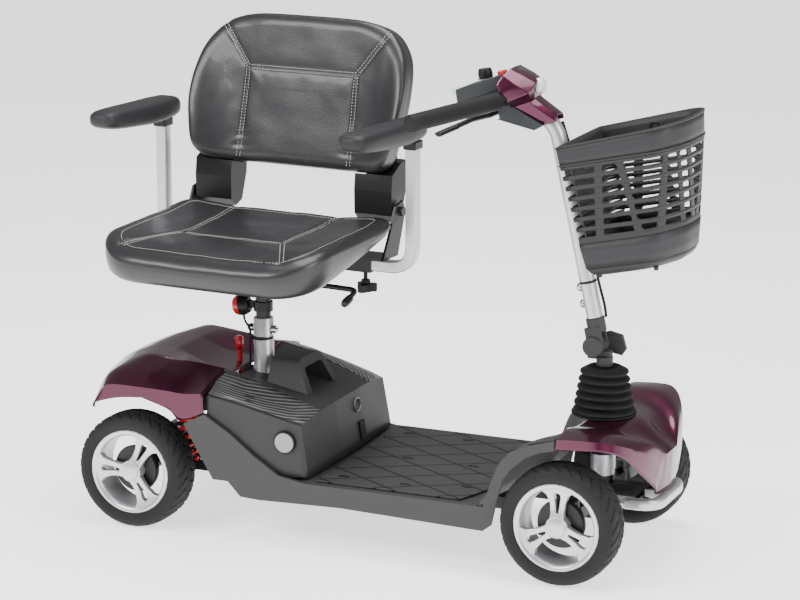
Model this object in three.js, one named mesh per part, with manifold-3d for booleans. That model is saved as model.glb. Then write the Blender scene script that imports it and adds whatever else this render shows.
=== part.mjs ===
// A four-wheeled travel mobility scooter, built as an assembly of named parts.
// Millimetres, +Z up, +X towards the front wheels, Y = 0 on the centre plane.
// Stations along X are counted from the rear axle; the whole group is then moved so that the
// origin lies on the ground under the middle of the scooter.
import * as THREE from "three";
import { mergeVertices } from "three/addons/utils/BufferGeometryUtils.js";
import Module from "manifold-3d";

const wasm = await Module();
wasm.setup();

// Driving dimensions
const ORIGIN_X = 433; // station of the origin, midway along the scooter
const WHEELBASE = 830;
const TYRE_RADIUS = 107.5;
const TYRE_WIDTH = 72;
const TRACK = 376; // between the wheels' middle planes
const RIM_RADIUS = 76.5;
const DECK_TOP = 124;
const DECK_HALF_WIDTH = 207;
const GAP = 0.4; // between neighbouring parts
const SEAT_POST_X = 169;
const SEAT_HEADING = -94; // degrees: the swivelling seat is turned to the scooter's right
const STEER_AXIS_X = 838;
const KINGPIN_Y = 132;
const TILT_HINGE = { x: 821, z: 380 };
const TILLER_LEAN = 12.15; // degrees, backwards from upright

// Materials
const paint = (color, roughness, metalness) =>
  new THREE.MeshStandardMaterial({ color, roughness, metalness });
const BURGUNDY = paint(0x4f1430, 0.25, 0.4);
const DARK_PLASTIC = paint(0x3b3b3d, 0.6, 0);
const BLACK_PLASTIC = paint(0x1d1d1f, 0.5, 0);
const BLACK_RUBBER = paint(0x1a1a1a, 0.9, 0);
const TYRE_RUBBER = paint(0x222222, 0.85, 0);
const SILVER = paint(0xb9bcbf, 0.35, 0.9);
const BLACK_STEEL = paint(0x202022, 0.45, 0.6);
const CHROME = paint(0xd8d8d8, 0.12, 1);
const LEATHER = paint(0x202124, 0.5, 0);
const RED_PLASTIC = paint(0xc4101c, 0.35, 0);
const CLEAR = paint(0xe8ecee, 0.08, 0);

// ---------- geometry helpers ----------

const radians = THREE.MathUtils.degToRad;

// Turns a closed three.js geometry into a solid that can be cut and joined.
function solid(geometry) {
  const plain = new THREE.BufferGeometry();
  plain.setAttribute("position", geometry.getAttribute("position"));
  plain.setIndex(geometry.index);
  const merged = mergeVertices(plain, 1e-3);
  const faces = new Uint32Array(merged.index.array);
  const vertices = new Float32Array(merged.attributes.position.array);
  const mesh = () => new wasm.Mesh({ numProp: 3, vertProperties: vertices, triVerts: faces });
  const make = () => new wasm.Manifold(mesh());
  const made = make();
  if (made.volume() > 0) return made;
  for (let i = 0; i < faces.length; i += 3) [faces[i], faces[i + 1]] = [faces[i + 1], faces[i]];
  return make();
}

const join = (...solids) => solids.reduce((a, b) => a.add(b));
const cut = (body, ...tools) => tools.reduce((a, b) => a.subtract(b), body);

// A block between two corners given as ranges.
function block([x0, x1], [y0, y1], [z0, z1]) {
  const g = new THREE.BoxGeometry(x1 - x0, y1 - y0, z1 - z0);
  return solid(g.translate((x0 + x1) / 2, (y0 + y1) / 2, (z0 + z1) / 2));
}

// A round rod between two points, or a cone when two radii are given.
function rod(from, to, radius, sides = 16, endRadius = radius) {
  const a = new THREE.Vector3(...from);
  const b = new THREE.Vector3(...to);
  const g = new THREE.CylinderGeometry(endRadius, radius, a.distanceTo(b), sides);
  const turn = new THREE.Quaternion().setFromUnitVectors(
    new THREE.Vector3(0, 1, 0),
    b.clone().sub(a).normalize(),
  );
  const middle = a.add(b).multiplyScalar(0.5);
  return solid(g.applyQuaternion(turn).translate(middle.x, middle.y, middle.z));
}

// A profile of [radius, height] points turned about a vertical axis through (x, y).
function turned(profile, segments, x = 0, y = 0) {
  const points = profile.map(([r, z]) => new THREE.Vector2(r, z));
  const g = new THREE.LatheGeometry(points, segments);
  return solid(g.rotateX(Math.PI / 2).translate(x, y, 0));
}

// A flat outline in X and Z, as thick as the range in Y.
function plateXZ(outline, [y0, y1]) {
  const shape = new THREE.Shape(outline.map(([x, z]) => new THREE.Vector2(x, z)));
  const g = new THREE.ExtrudeGeometry(shape, { depth: y1 - y0, bevelEnabled: false });
  return solid(g.rotateX(Math.PI / 2).translate(0, y1, 0));
}

// A flat outline in Y and Z, as thick as the range in X.
function plateYZ(outline, [x0, x1]) {
  const shape = new THREE.Shape(outline.map(([y, z]) => new THREE.Vector2(y, z)));
  const g = new THREE.ExtrudeGeometry(shape, { depth: x1 - x0, bevelEnabled: false });
  return solid(g.rotateX(Math.PI / 2).rotateZ(Math.PI / 2).translate(x0, 0, 0));
}

// A closed skin through rings that all have the same number of points, with flat end caps.
function skin(rings) {
  const count = rings[0].length;
  const position = rings.flat().flatMap((p) => [p.x, p.y, p.z]);
  const index = [];
  for (let i = 0; i + 1 < rings.length; i++)
    for (let j = 0; j < count; j++) {
      const a = i * count + j;
      const b = i * count + ((j + 1) % count);
      index.push(a, b, b + count, a, b + count, a + count);
    }
  const cap = (ring, start, flip) => {
    const normal = new THREE.Vector3();
    ring.forEach((p, j) => normal.add(p.clone().cross(ring[(j + 1) % count])));
    normal.normalize();
    const side = new THREE.Vector3(1, 0, 0);
    if (Math.abs(normal.x) > 0.8) side.set(0, 1, 0);
    const u = side.cross(normal).normalize();
    const v = normal.clone().cross(u);
    const flat = ring.map((p) => new THREE.Vector2(p.dot(u), p.dot(v)));
    for (const [a, b, c] of THREE.ShapeUtils.triangulateShape(flat, []))
      index.push(...(flip ? [start + c, start + b, start + a] : [start + a, start + b, start + c]));
  };
  cap(rings[0], 0, true);
  cap(rings[rings.length - 1], (rings.length - 1) * count, false);
  const g = new THREE.BufferGeometry();
  g.setAttribute("position", new THREE.Float32BufferAttribute(position, 3));
  return solid(g.setIndex(index));
}

// A polyline whose corners are rounded with the given radius.
function rounded(points, radius, steps = 5) {
  const path = points.map((p) => new THREE.Vector3(...p));
  const out = [path[0]];
  for (let i = 1; i + 1 < path.length; i++) {
    const back = path[i - 1].clone().sub(path[i]).normalize();
    const on = path[i + 1].clone().sub(path[i]).normalize();
    const reach = radius / Math.tan(back.angleTo(on) / 2);
    const curve = new THREE.QuadraticBezierCurve3(
      path[i].clone().addScaledVector(back, reach),
      path[i],
      path[i].clone().addScaledVector(on, reach),
    );
    out.push(...curve.getPoints(steps));
  }
  return [...out, path[path.length - 1]];
}

// Sweeps a section of [across, up] points along a path; "up" stays as near the given one as it can.
function sweep(path, section, up = new THREE.Vector3(0, 0, 1)) {
  const rings = path.map((p, i) => {
    const ahead = path[Math.min(i + 1, path.length - 1)];
    const behind = path[Math.max(i - 1, 0)];
    const along = ahead.clone().sub(behind).normalize();
    const across = along.clone().cross(up).normalize();
    const above = across.clone().cross(along);
    return section.map(([a, b]) => p.clone().addScaledVector(across, a).addScaledVector(above, b));
  });
  return skin(rings);
}

// A range across the scooter, counted outwards from the centre plane on the given side.
const span = (side, near, far) => (side > 0 ? [near, far] : [-far, -near]);

const circle = (radius, sides, y = radius) =>
  Array.from({ length: sides }, (_, i) => {
    const t = (2 * Math.PI * (i + 0.5)) / sides;
    return [radius * Math.cos(t), y * Math.sin(t)];
  });
const square = (size) => [
  [-size / 2, -size / 2],
  [size / 2, -size / 2],
  [size / 2, size / 2],
  [-size / 2, size / 2],
];

// A rounded rectangle as a list of [a, b] points; the corners at a1 may have their own radius.
function roundedRectangle([a0, a1], [b0, b1], radius, perCorner = 3, farRadius = radius) {
  const corners = [
    [a1 - farRadius, b1 - farRadius, 0, farRadius],
    [a0 + radius, b1 - radius, 90, radius],
    [a0 + radius, b0 + radius, 180, radius],
    [a1 - farRadius, b0 + farRadius, 270, farRadius],
  ];
  return corners.flatMap(([a, b, start, r]) =>
    Array.from({ length: perCorner + 1 }, (_, i) => {
      const t = radians(start + (90 * i) / perCorner);
      return [a + r * Math.cos(t), b + r * Math.sin(t)];
    }),
  );
}

// A thin moulded shell: the outer surface is a grid of rows of points, the inner one lies below it.
// Each row lists its points from the right edge to the centre, and is mirrored to the left.
function shell(halfRows, thickness) {
  const rows = halfRows.map((half) => {
    const right = half.map(([x, y, z]) => new THREE.Vector3(x, -y, z));
    const left = half.slice(0, -1).map(([x, y, z]) => new THREE.Vector3(x, y, z)).reverse();
    return [...right, ...left];
  });
  const n = rows.length;
  const m = rows[0].length;
  const at = (i, j) => rows[Math.max(0, Math.min(n - 1, i))][Math.max(0, Math.min(m - 1, j))];
  const inner = rows.map((row, i) =>
    row.map((p, j) => {
      const along = at(i + 1, j).clone().sub(at(i - 1, j));
      const across = at(i, j + 1).clone().sub(at(i, j - 1));
      return p.clone().addScaledVector(along.cross(across).normalize(), -thickness);
    }),
  );
  const position = [...rows.flat(), ...inner.flat()].flatMap((p) => [p.x, p.y, p.z]);
  const index = [];
  const quad = (a, b, c, d) => index.push(a, b, c, a, c, d);
  const id = (i, j) => i * m + j;
  const under = n * m;
  for (let i = 0; i + 1 < n; i++)
    for (let j = 0; j + 1 < m; j++) {
      quad(id(i, j), id(i + 1, j), id(i + 1, j + 1), id(i, j + 1));
      quad(under + id(i, j), under + id(i, j + 1), under + id(i + 1, j + 1), under + id(i + 1, j));
    }
  const rim = [];
  for (let j = 0; j < m; j++) rim.push(id(0, j));
  for (let i = 1; i < n; i++) rim.push(id(i, m - 1));
  for (let j = m - 2; j >= 0; j--) rim.push(id(n - 1, j));
  for (let i = n - 2; i > 0; i--) rim.push(id(i, 0));
  rim.forEach((a, k) => {
    const b = rim[(k + 1) % rim.length];
    quad(a, b, under + b, under + a);
  });
  const g = new THREE.BufferGeometry();
  g.setAttribute("position", new THREE.Float32BufferAttribute(position, 3));
  return solid(g.setIndex(index));
}

// Puts a solid into the scene as a named mesh.
function part(group, name, body, material) {
  const { vertProperties, triVerts } = body.getMesh();
  const g = new THREE.BufferGeometry();
  g.setAttribute("position", new THREE.BufferAttribute(new Float32Array(vertProperties), 3));
  g.setIndex(new THREE.BufferAttribute(new Uint32Array(triVerts), 1));
  g.computeVertexNormals();
  const mesh = new THREE.Mesh(g, material);
  mesh.name = name;
  group.add(mesh);
}

// ---------- groups ----------

const scooter = new THREE.Group();
scooter.position.x = -ORIGIN_X;

const SIDES = { left: 1, right: -1 };
const eachSide = (build) => Object.entries(SIDES).forEach(([name, side]) => build(name, side));

// ---------- wheels ----------

// The tyre stands on one of its flats, so the polygon is grown until that flat touches the ground.
const WHEEL_SEGMENTS = 24;
const FLAT_GROWTH = 1 / Math.cos(Math.PI / WHEEL_SEGMENTS);
const HALF_TYRE = TYRE_WIDTH / 2;

function wheelRing(profile, segments = WHEEL_SEGMENTS) {
  const points = profile.map(([r, y]) => new THREE.Vector2(r * FLAT_GROWTH, y));
  return solid(new THREE.LatheGeometry(points, segments).rotateY(Math.PI / segments));
}

function tyre() {
  const R = TYRE_RADIUS;
  const half = [
    [R, 16],
    [R - 4, 30],
    [R - 12, HALF_TYRE],
    [RIM_RADIUS + GAP, HALF_TYRE - 4],
  ];
  const mirror = half.map(([r, y]) => [r, -y]).reverse();
  return wheelRing([...half, ...mirror, half[0]]);
}

// A three-spoke wheel whose face looks along +Y.
function rim() {
  const BARREL = RIM_RADIUS - 10;
  const FACE_OUT = 31;
  const FACE_IN = 19;
  const barrel = wheelRing([
    [RIM_RADIUS, FACE_OUT],
    [RIM_RADIUS, -FACE_OUT],
    [RIM_RADIUS - 6, -FACE_OUT],
    [BARREL, 0],
    [BARREL, FACE_OUT],
    [RIM_RADIUS, FACE_OUT],
  ]);
  const hub = rod([0, -24, 0], [0, FACE_OUT - 2, 0], 20, 14);
  const spoke = (angle) => {
    const outline = [
      [-13, 15],
      [13, 15],
      [11, 40],
      [18, BARREL + 3],
      [-18, BARREL + 3],
      [-11, 40],
    ];
    const shape = new THREE.Shape(outline.map(([x, z]) => new THREE.Vector2(x, z)));
    const g = new THREE.ExtrudeGeometry(shape, { depth: FACE_OUT - FACE_IN - 3, bevelEnabled: false });
    return solid(g.rotateX(Math.PI / 2).translate(0, FACE_OUT - 3, 0).rotateY(radians(angle)));
  };
  const bore = rod([0, -30, 0], [0, 18.6, 0], 7.4, 12);
  return cut(join(barrel, hub, spoke(0), spoke(120), spoke(240)), bore);
}

const REAR_SPOKE_TURN = { left: 20, right: -90 };
const FRONT_SPOKE_TURN = { left: -15, right: 0 };

function wheels() {
  const make = (end, x, turns) =>
    eachSide((name, side) => {
      const group = new THREE.Group();
      group.position.set(x, (side * TRACK) / 2, TYRE_RADIUS);
      scooter.add(group);
      part(group, `tyre_${end}_${name}`, tyre(), TYRE_RUBBER);
      // The right wheel is the left one turned about the vertical, so both faces look outwards.
      const spokes = new THREE.Group();
      spokes.rotation.z = side > 0 ? 0 : Math.PI;
      const facet = 360 / WHEEL_SEGMENTS;
      const turn = Math.round(turns[name] / facet) * facet;
      const inner = new THREE.Group();
      inner.rotation.y = radians(turn);
      group.add(spokes);
      spokes.add(inner);
      part(inner, `rim_${end}_${name}`, rim(), SILVER);
    });
  make("rear", 0, REAR_SPOKE_TURN);
  make("front", WHEELBASE, FRONT_SPOKE_TURN);
}

// ---------- chassis ----------

const RAIL_Y = 92;
const SPLIT_X = 360; // where the rear frame hooks onto the front frame
const SWING_PIVOT = { x: 176, z: 96 };
const POST_OUTER = 19;
const POST_INNER = 14;

function frames() {
  const rail = (x, side) => block(x, [side * RAIL_Y - 12, side * RAIL_Y + 12], [90, 112]);
  const cheek = (s) => span(s, 92, 104);
  const upright = (s) =>
    join(
      block([84, 160], cheek(s), [205, 228]),
      block([148, 162], cheek(s), [90, 228]),
      rod([SWING_PIVOT.x, s * 100, SWING_PIVOT.z], [SWING_PIVOT.x, s * 127, SWING_PIVOT.z], 5.6, 12),
    );
  const rearFrame = join(
    rail([160, SPLIT_X], 1),
    rail([160, SPLIT_X], -1),
    block([158, 180], [-104, 104], [90, 112]),
    block([150, 192], [-26, 26], [104, 150]),
    block([338, SPLIT_X], [-104, 104], [90, 112]),
    block([60, 88], [-150, 150], [212, 228]),
    block([84, 122], [-6, 1.6], [216, 244]),
    upright(1),
    upright(-1),
  );
  const postSocket = rod([SEAT_POST_X, 0, 120], [SEAT_POST_X, 0, 200], POST_OUTER + 4, 14);
  const postHole = rod([SEAT_POST_X, 0, 119], [SEAT_POST_X, 0, 201], POST_OUTER + GAP, 14);
  part(scooter, "rear_frame", cut(join(rearFrame, postSocket), postHole), BLACK_STEEL);

  const headTube = rod([STEER_AXIS_X, 0, 88], [STEER_AXIS_X, 0, 186], 21, 14);
  const headBore = rod([STEER_AXIS_X, 0, 87], [STEER_AXIS_X, 0, 187], 14.5, 14);
  const frontFrame = join(
    rail([SPLIT_X + GAP, 690], 1),
    rail([SPLIT_X + GAP, 690], -1),
    block([SPLIT_X + GAP, SPLIT_X + 22], [-104, 104], [90, 112]),
    block([560, 580], [-104, 104], [90, 112]),
    block([668, 692], [-104, 104], [90, 112]),
    block([680, 826], [-20, 20], [90, 112]),
    block([STEER_AXIS_X - 18, STEER_AXIS_X + 2], [-118, 118], [92, 116]),
    headTube,
    block([855, 930], [-13, 13], [112, 134]),
    block([800, 826], [-10, 10], [100, 180]),
  );
  const axleEyes = [-1, 1].map((s) =>
    rod([WHEELBASE, s * KINGPIN_Y, 88], [WHEELBASE, s * KINGPIN_Y, 120], 13, 12),
  );
  const beamEnds = [-1, 1].map((s) =>
    block([WHEELBASE - 8, WHEELBASE + 8], span(s, 100, 128), [92, 116]),
  );
  const eyeBores = [-1, 1].map((s) =>
    rod([WHEELBASE, s * KINGPIN_Y, 80], [WHEELBASE, s * KINGPIN_Y, 130], 7, 12),
  );
  const bumperBolts = block([912, 920], [-60, 60], [112, 120]);
  const front = cut(join(frontFrame, ...axleEyes, ...beamEnds, bumperBolts), headBore, ...eyeBores);
  part(scooter, "front_frame", front, BLACK_STEEL);
}

// The rear axle, its gearbox and motor swing as one unit on the frame's rear cross tube.
function rearAxle() {
  const arm = (s) =>
    join(
      block([0, SWING_PIVOT.x - 10], span(s, 112, 124), [96, 112]),
      rod([SWING_PIVOT.x, s * 112, SWING_PIVOT.z], [SWING_PIVOT.x, s * 124, SWING_PIVOT.z], 12, 10),
      block([150, SWING_PIVOT.x], span(s, 112, 124), [88, 106]),
      block([60, 88], span(s, 112, 142), [96, 112]),
    );
  const eye = (s) =>
    rod([SWING_PIVOT.x, s * 111, SWING_PIVOT.z], [SWING_PIVOT.x, s * 125, SWING_PIVOT.z], 6, 10);
  const body = join(
    rod([0, -44, TYRE_RADIUS], [0, 52, TYRE_RADIUS], 46, 14),
    rod([0, -164, TYRE_RADIUS], [0, 164, TYRE_RADIUS], 19, 12),
    rod([52, 30, 128], [52, -96, 128], 36, 14),
    block([0, 60], [-20, 44], [84, 150]),
    rod([0, -206, TYRE_RADIUS], [0, 206, TYRE_RADIUS], 7, 10),
    arm(1),
    arm(-1),
  );
  part(scooter, "transaxle", cut(body, eye(1), eye(-1)), BLACK_STEEL);

  eachSide((name, s) => {
    const y = s * 128;
    const turns = [];
    const low = 113;
    const high = 211;
    const coils = 5;
    for (let i = 0; i < coils; i++) {
      const z = low + ((high - low) * i) / coils;
      const pitch = (high - low) / coils;
      turns.push([15, z], [20, z + pitch * 0.3], [20, z + pitch * 0.6]);
    }
    const profile = [[0, low], ...turns, [15, high], [0, high]];
    part(scooter, `rear_spring_${name}`, turned(profile, 8, 74, y), RED_PLASTIC);
  });
}

function seatPosts() {
  const boltZ = 345;
  const boltHole = rod([120, 0, boltZ], [220, 0, boltZ], 4.4, 12);
  const outer = turned(
    [
      [POST_INNER + GAP, 122],
      [POST_OUTER, 122],
      [POST_OUTER, 365],
      [POST_OUTER - 1.5, 367],
      [POST_INNER + GAP, 367],
      [POST_INNER + GAP, 122],
    ],
    14,
    SEAT_POST_X,
  );
  part(scooter, "seat_post_tube", cut(outer, boltHole), SILVER);
  const inner = rod([SEAT_POST_X, 0, 240], [SEAT_POST_X, 0, 482], POST_INNER, 14);
  part(scooter, "seat_post", cut(inner, boltHole), BLACK_STEEL);
  const head = POST_OUTER + GAP;
  const bolt = join(
    rod([SEAT_POST_X - head - 12, 0, boltZ], [SEAT_POST_X + head + 8, 0, boltZ], 4, 12),
    rod([SEAT_POST_X + head, 0, boltZ], [SEAT_POST_X + head + 2, 0, boltZ], 10, 10),
    rod([SEAT_POST_X + head + 1, 0, boltZ], [SEAT_POST_X + head + 9, 0, boltZ], 8, 6),
    rod([SEAT_POST_X - head - 9, 0, boltZ], [SEAT_POST_X - head, 0, boltZ], 8, 6),
    rod([SEAT_POST_X - head - 15, 0, boltZ], [SEAT_POST_X - head - 8, 0, boltZ], 6, 12),
  );
  part(scooter, "seat_post_bolt", bolt, CHROME);
}

function rearLight() {
  const z = 388;
  const clamp = turned(
    [
      [POST_INNER + GAP, z - 9],
      [POST_INNER + 4, z - 9],
      [POST_INNER + 4, z + 9],
      [POST_INNER + GAP, z + 9],
      [POST_INNER + GAP, z - 9],
    ],
    14,
    SEAT_POST_X,
  );
  const arm = block([134, 153], [-4, 4], [z - 6, z + 8]);
  const lamp = join(
    rod([140, 0, z + 1], [126, 0, z - 2], 15, 20, 14),
    rod([126, 0, z - 2], [110, 0, z - 5], 20, 20, 17),
  );
  part(scooter, "rear_light", join(clamp, arm, lamp), RED_PLASTIC);

  // The lamp's lead is clipped to the post all the way down into the rear body.
  const route = [
    [134, -12, 372],
    [138, -15, 360],
    [148, -15, 346],
    [151, -16, 329],
    [150, -16, 300],
    [149, -17, 268],
    [146, -20, 240],
  ];
  const curve = new THREE.CatmullRomCurve3(route.map((p) => new THREE.Vector3(...p)));
  const section = new THREE.Shape(circle(2.2, 6).map(([a, b]) => new THREE.Vector2(a, b)));
  const lead = new THREE.ExtrudeGeometry(section, { extrudePath: curve, steps: 12 });
  part(scooter, "light_cable", solid(lead), BLACK_RUBBER);
}

// ---------- deck ----------

function deck() {
  const side = [
    [106, 208],
    [148, 230],
    [199, 200],
    [247, 163],
    [296, 132],
    [348, DECK_TOP],
    [690, DECK_TOP],
    [704, 170],
    [719, 206],
    [736, 226],
    [766, 243],
    [820, 258],
    [820, 240],
    [796, 235],
    [766, 221],
    [741, 198],
    [726, 177],
    [713, 130],
    [705, 92],
    [690, 80],
    [416, 87],
    [256, 82],
    [219, 84],
    [194, 110],
    [164, 110],
  ];
  const W = DECK_HALF_WIDTH;
  const sides = join(plateXZ(side, [-W, -W + 7]), plateXZ(side, [W - 7, W]));
  const floor = block([196, 679], [-W + 3, W - 3], [DECK_TOP - 5, DECK_TOP]);
  const hump = shell(
    [
      [203, 160, 110, 60, 0].map((y) => [676, y, DECK_TOP]),
      [[697, 203, 150], [697, 160, 146], [703, 110, 134], [712, 60, 128], [712, 0, 128]],
      [[719, 203, 206], [719, 160, 198], [735, 110, 170], [748, 60, 158], [748, 0, 160]],
      [[766, 203, 243], [768, 160, 240], [776, 110, 222], [784, 60, 214], [784, 0, 218]],
      [[820, 203, 258], [820, 160, 258], [820, 110, 253], [818, 60, 250], [818, 0, 252]],
    ],
    3.5,
  );
  const postClear = rod([SEAT_POST_X, 0, 100], [SEAT_POST_X, 0, 150], 28, 14);
  part(scooter, "deck", cut(join(sides, floor, hump), postClear), DARK_PLASTIC);

  const mat = new THREE.Shape(
    [
      [362, -190],
      [640, -190],
      [655, -150],
      [670, -100],
      [670, 100],
      [655, 150],
      [640, 190],
      [362, 190],
    ].map(([x, y]) => new THREE.Vector2(x, y)),
  );
  const sheet = new THREE.ExtrudeGeometry(mat, { depth: 3.6, bevelEnabled: false });
  part(scooter, "deck_mat", solid(sheet.translate(0, 0, DECK_TOP + GAP)), BLACK_RUBBER);
}

// ---------- body covers ----------

function covers() {
  const rear = shell(
    [
      [[-80, 205, 218], [-88, 195, 219], [-104, 160, 214], [-118, 110, 206], [-128, 50, 201], [-131, 0, 200]],
      [[-78, 206, 227], [-66, 203, 250], [-80, 165, 261], [-95, 112, 265], [-106, 50, 267], [-109, 0, 267]],
      [[-31, 207, 242], [-43, 206, 266], [-48, 170, 284], [-22, 122, 303], [-40, 55, 302], [-42, 0, 302]],
      [[20, 207, 248], [20, 206, 267], [20, 172, 287], [25, 121, 305], [14, 46, 303], [14, 0, 303]],
      [[75, 207, 232], [70, 206, 266], [75, 165, 284], [80, 116, 300], [60, 50, 285], [60, 0, 285]],
      [[100, 207, 214], [105, 206, 264], [105, 160, 282], [108, 113, 297], [95, 58, 277], [95, 0, 277]],
      [[147, 207, 233], [145, 206, 268], [145, 160, 281], [145, 111, 292], [136, 62, 272], [132, 0, 272]],
    ],
    3,
  );
  const leverSlot = block([60, 128], [-2, 24], [255, 300]);
  const deckClear = block([95, 160], [-210, 210], [190, 231.5]);
  part(scooter, "rear_cover", cut(rear, leverSlot, deckClear), BURGUNDY);

  const front = shell(
    [
      [[822, 207, 243], [822, 206, 261], [822, 150, 266], [822, 100, 257], [822, 55, 255], [822, 0, 256]],
      [[870, 207, 246], [870, 206, 264], [865, 150, 268], [866, 100, 258], [870, 55, 257], [875, 0, 260]],
      [[905, 200, 247], [903, 198, 262], [900, 140, 264], [900, 90, 250], [902, 50, 251], [905, 0, 254]],
      [[932, 162, 228], [930, 160, 248], [930, 115, 250], [925, 75, 238], [922, 38, 236], [925, 0, 240]],
      [[950, 108, 182], [952, 102, 222], [952, 75, 232], [948, 48, 222], [945, 28, 220], [946, 0, 222]],
      [[958, 64, 150], [962, 53, 188], [964, 39, 205], [966, 27, 204], [967, 15, 205], [968, 0, 206]],
      [[955, 56, 136], [959, 45, 135], [961, 36, 135], [962, 27, 135], [963, 15, 135], [964, 0, 135]],
    ],
    3,
  );
  const bootHole = rod([STEER_AXIS_X, 0, 230], [STEER_AXIS_X, 0, 280], 40, 14);
  part(scooter, "front_shroud", cut(front, bootHole), BURGUNDY);

  // The bumper bar wraps round the front end between the wheels.
  const path = rounded(
    [
      [912, -76, 121],
      [962, -76, 121],
      [962, 76, 121],
      [912, 76, 121],
    ],
    34,
    4,
  );
  const section = roundedRectangle([-10, 10], [-10, 10], 4, 1);
  const bar = sweep(path, section);
  const tab = block([921, 960], [-14, 14], [114, 132]);
  const clear = block([840, 930.6], [-16, 16], [100, 150]);
  part(scooter, "bumper", cut(join(bar, tab), clear), SILVER);

  const folds = 6;
  const bottom = 258.5;
  const top = 343;
  const profile = [];
  for (let i = 0; i < folds; i++) {
    const t = i / folds;
    const z = bottom + (top - bottom) * t;
    const step = (top - bottom) / folds;
    const wide = 56 - 15 * t;
    profile.push([wide - 3, z], [wide, z + step * 0.35], [wide - 9, z + step * 0.9]);
  }
  profile.push([36, top], [28, top], [26, top - 10], [44, bottom], profile[0]);
  const boot = turned(profile, 14, STEER_AXIS_X);
  const underside = block([760, 920], [-80, 80], [250, 261.5]);
  part(scooter, "steering_boot", cut(boot, underside), BLACK_RUBBER);
}

// ---------- battery box ----------

function batteryBox() {
  const case_ = shell(
    [
      [[150, 199, 236], [150, 197, 262], [150, 160, 279], [150, 111, 290], [150, 62, 270], [150, 0, 268]],
      [[200, 199, 203], [200, 195, 254], [200, 158, 270], [200, 110, 279], [200, 62, 262], [200, 0, 260]],
      [[250, 199, 166], [250, 193, 243], [250, 156, 256], [250, 108, 264], [250, 60, 253], [250, 0, 251]],
      [[296, 198, 136], [298, 189, 231], [298, 150, 241], [296, 105, 249], [296, 56, 244], [296, 0, 242]],
      [[336, 196, 132], [331, 182, 222], [332, 140, 228], [335, 100, 233], [338, 54, 235], [338, 0, 235]],
      [[341, 193, 130], [346, 186, 130], [349, 146, 130], [351, 100, 130], [353, 54, 130], [353, 0, 130]],
    ],
    3.5,
  );
  // The grip bridges a finger tunnel that is open fore and aft.
  const bridge = plateYZ(
    [
      [-66, 244],
      [-40, 303],
      [40, 303],
      [66, 244],
      [45, 244],
      [37, 288],
      [-37, 288],
      [-45, 244],
    ],
    [205, 283],
  );
  const slope = plateXZ(
    [
      [262, 320],
      [300, 320],
      [300, 244],
    ],
    [-80, 80],
  );
  const postNotch = join(
    rod([SEAT_POST_X, 0, 100], [SEAT_POST_X, 0, 330], 32, 14),
    block([140, SEAT_POST_X], [-27, 27], [100, 330]),
  );
  const reflectorSeat = (s) => rod([303, s * 192.5, 192], [303, s * 205, 192], 19.5, 14);
  const body = cut(join(case_, cut(bridge, slope)), postNotch, reflectorSeat(1), reflectorSeat(-1));
  part(scooter, "battery_case", body, DARK_PLASTIC);

  const pack = block([204, 328], [-150, 150], [134, 222]);
  const packNotch = rod([SEAT_POST_X, 0, 100], [SEAT_POST_X, 0, 300], 36, 12);
  part(scooter, "battery_pack", cut(pack, packNotch), BLACK_PLASTIC);
  const flap = plateXZ(
    [
      [352.5, 140],
      [347.3, 176],
      [350.3, 176.4],
      [355.5, 140.4],
    ],
    [31, 53],
  );
  part(scooter, "charge_flap", flap, BLACK_RUBBER);

  const controller = block([100, 146], [-84, 84], [166, 196]);
  part(scooter, "controller", controller, SILVER);
  const lever = join(
    rod([113, 12, 236], [113, 12, 300], 5, 12),
    rod([113, 12, 296], [111, 12, 322], 8, 14, 7),
    rod([113, 2, 236], [113, 22, 236], 7, 10),
  );
  part(scooter, "freewheel_lever", lever, RED_PLASTIC);
}

// ---------- steering ----------

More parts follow.
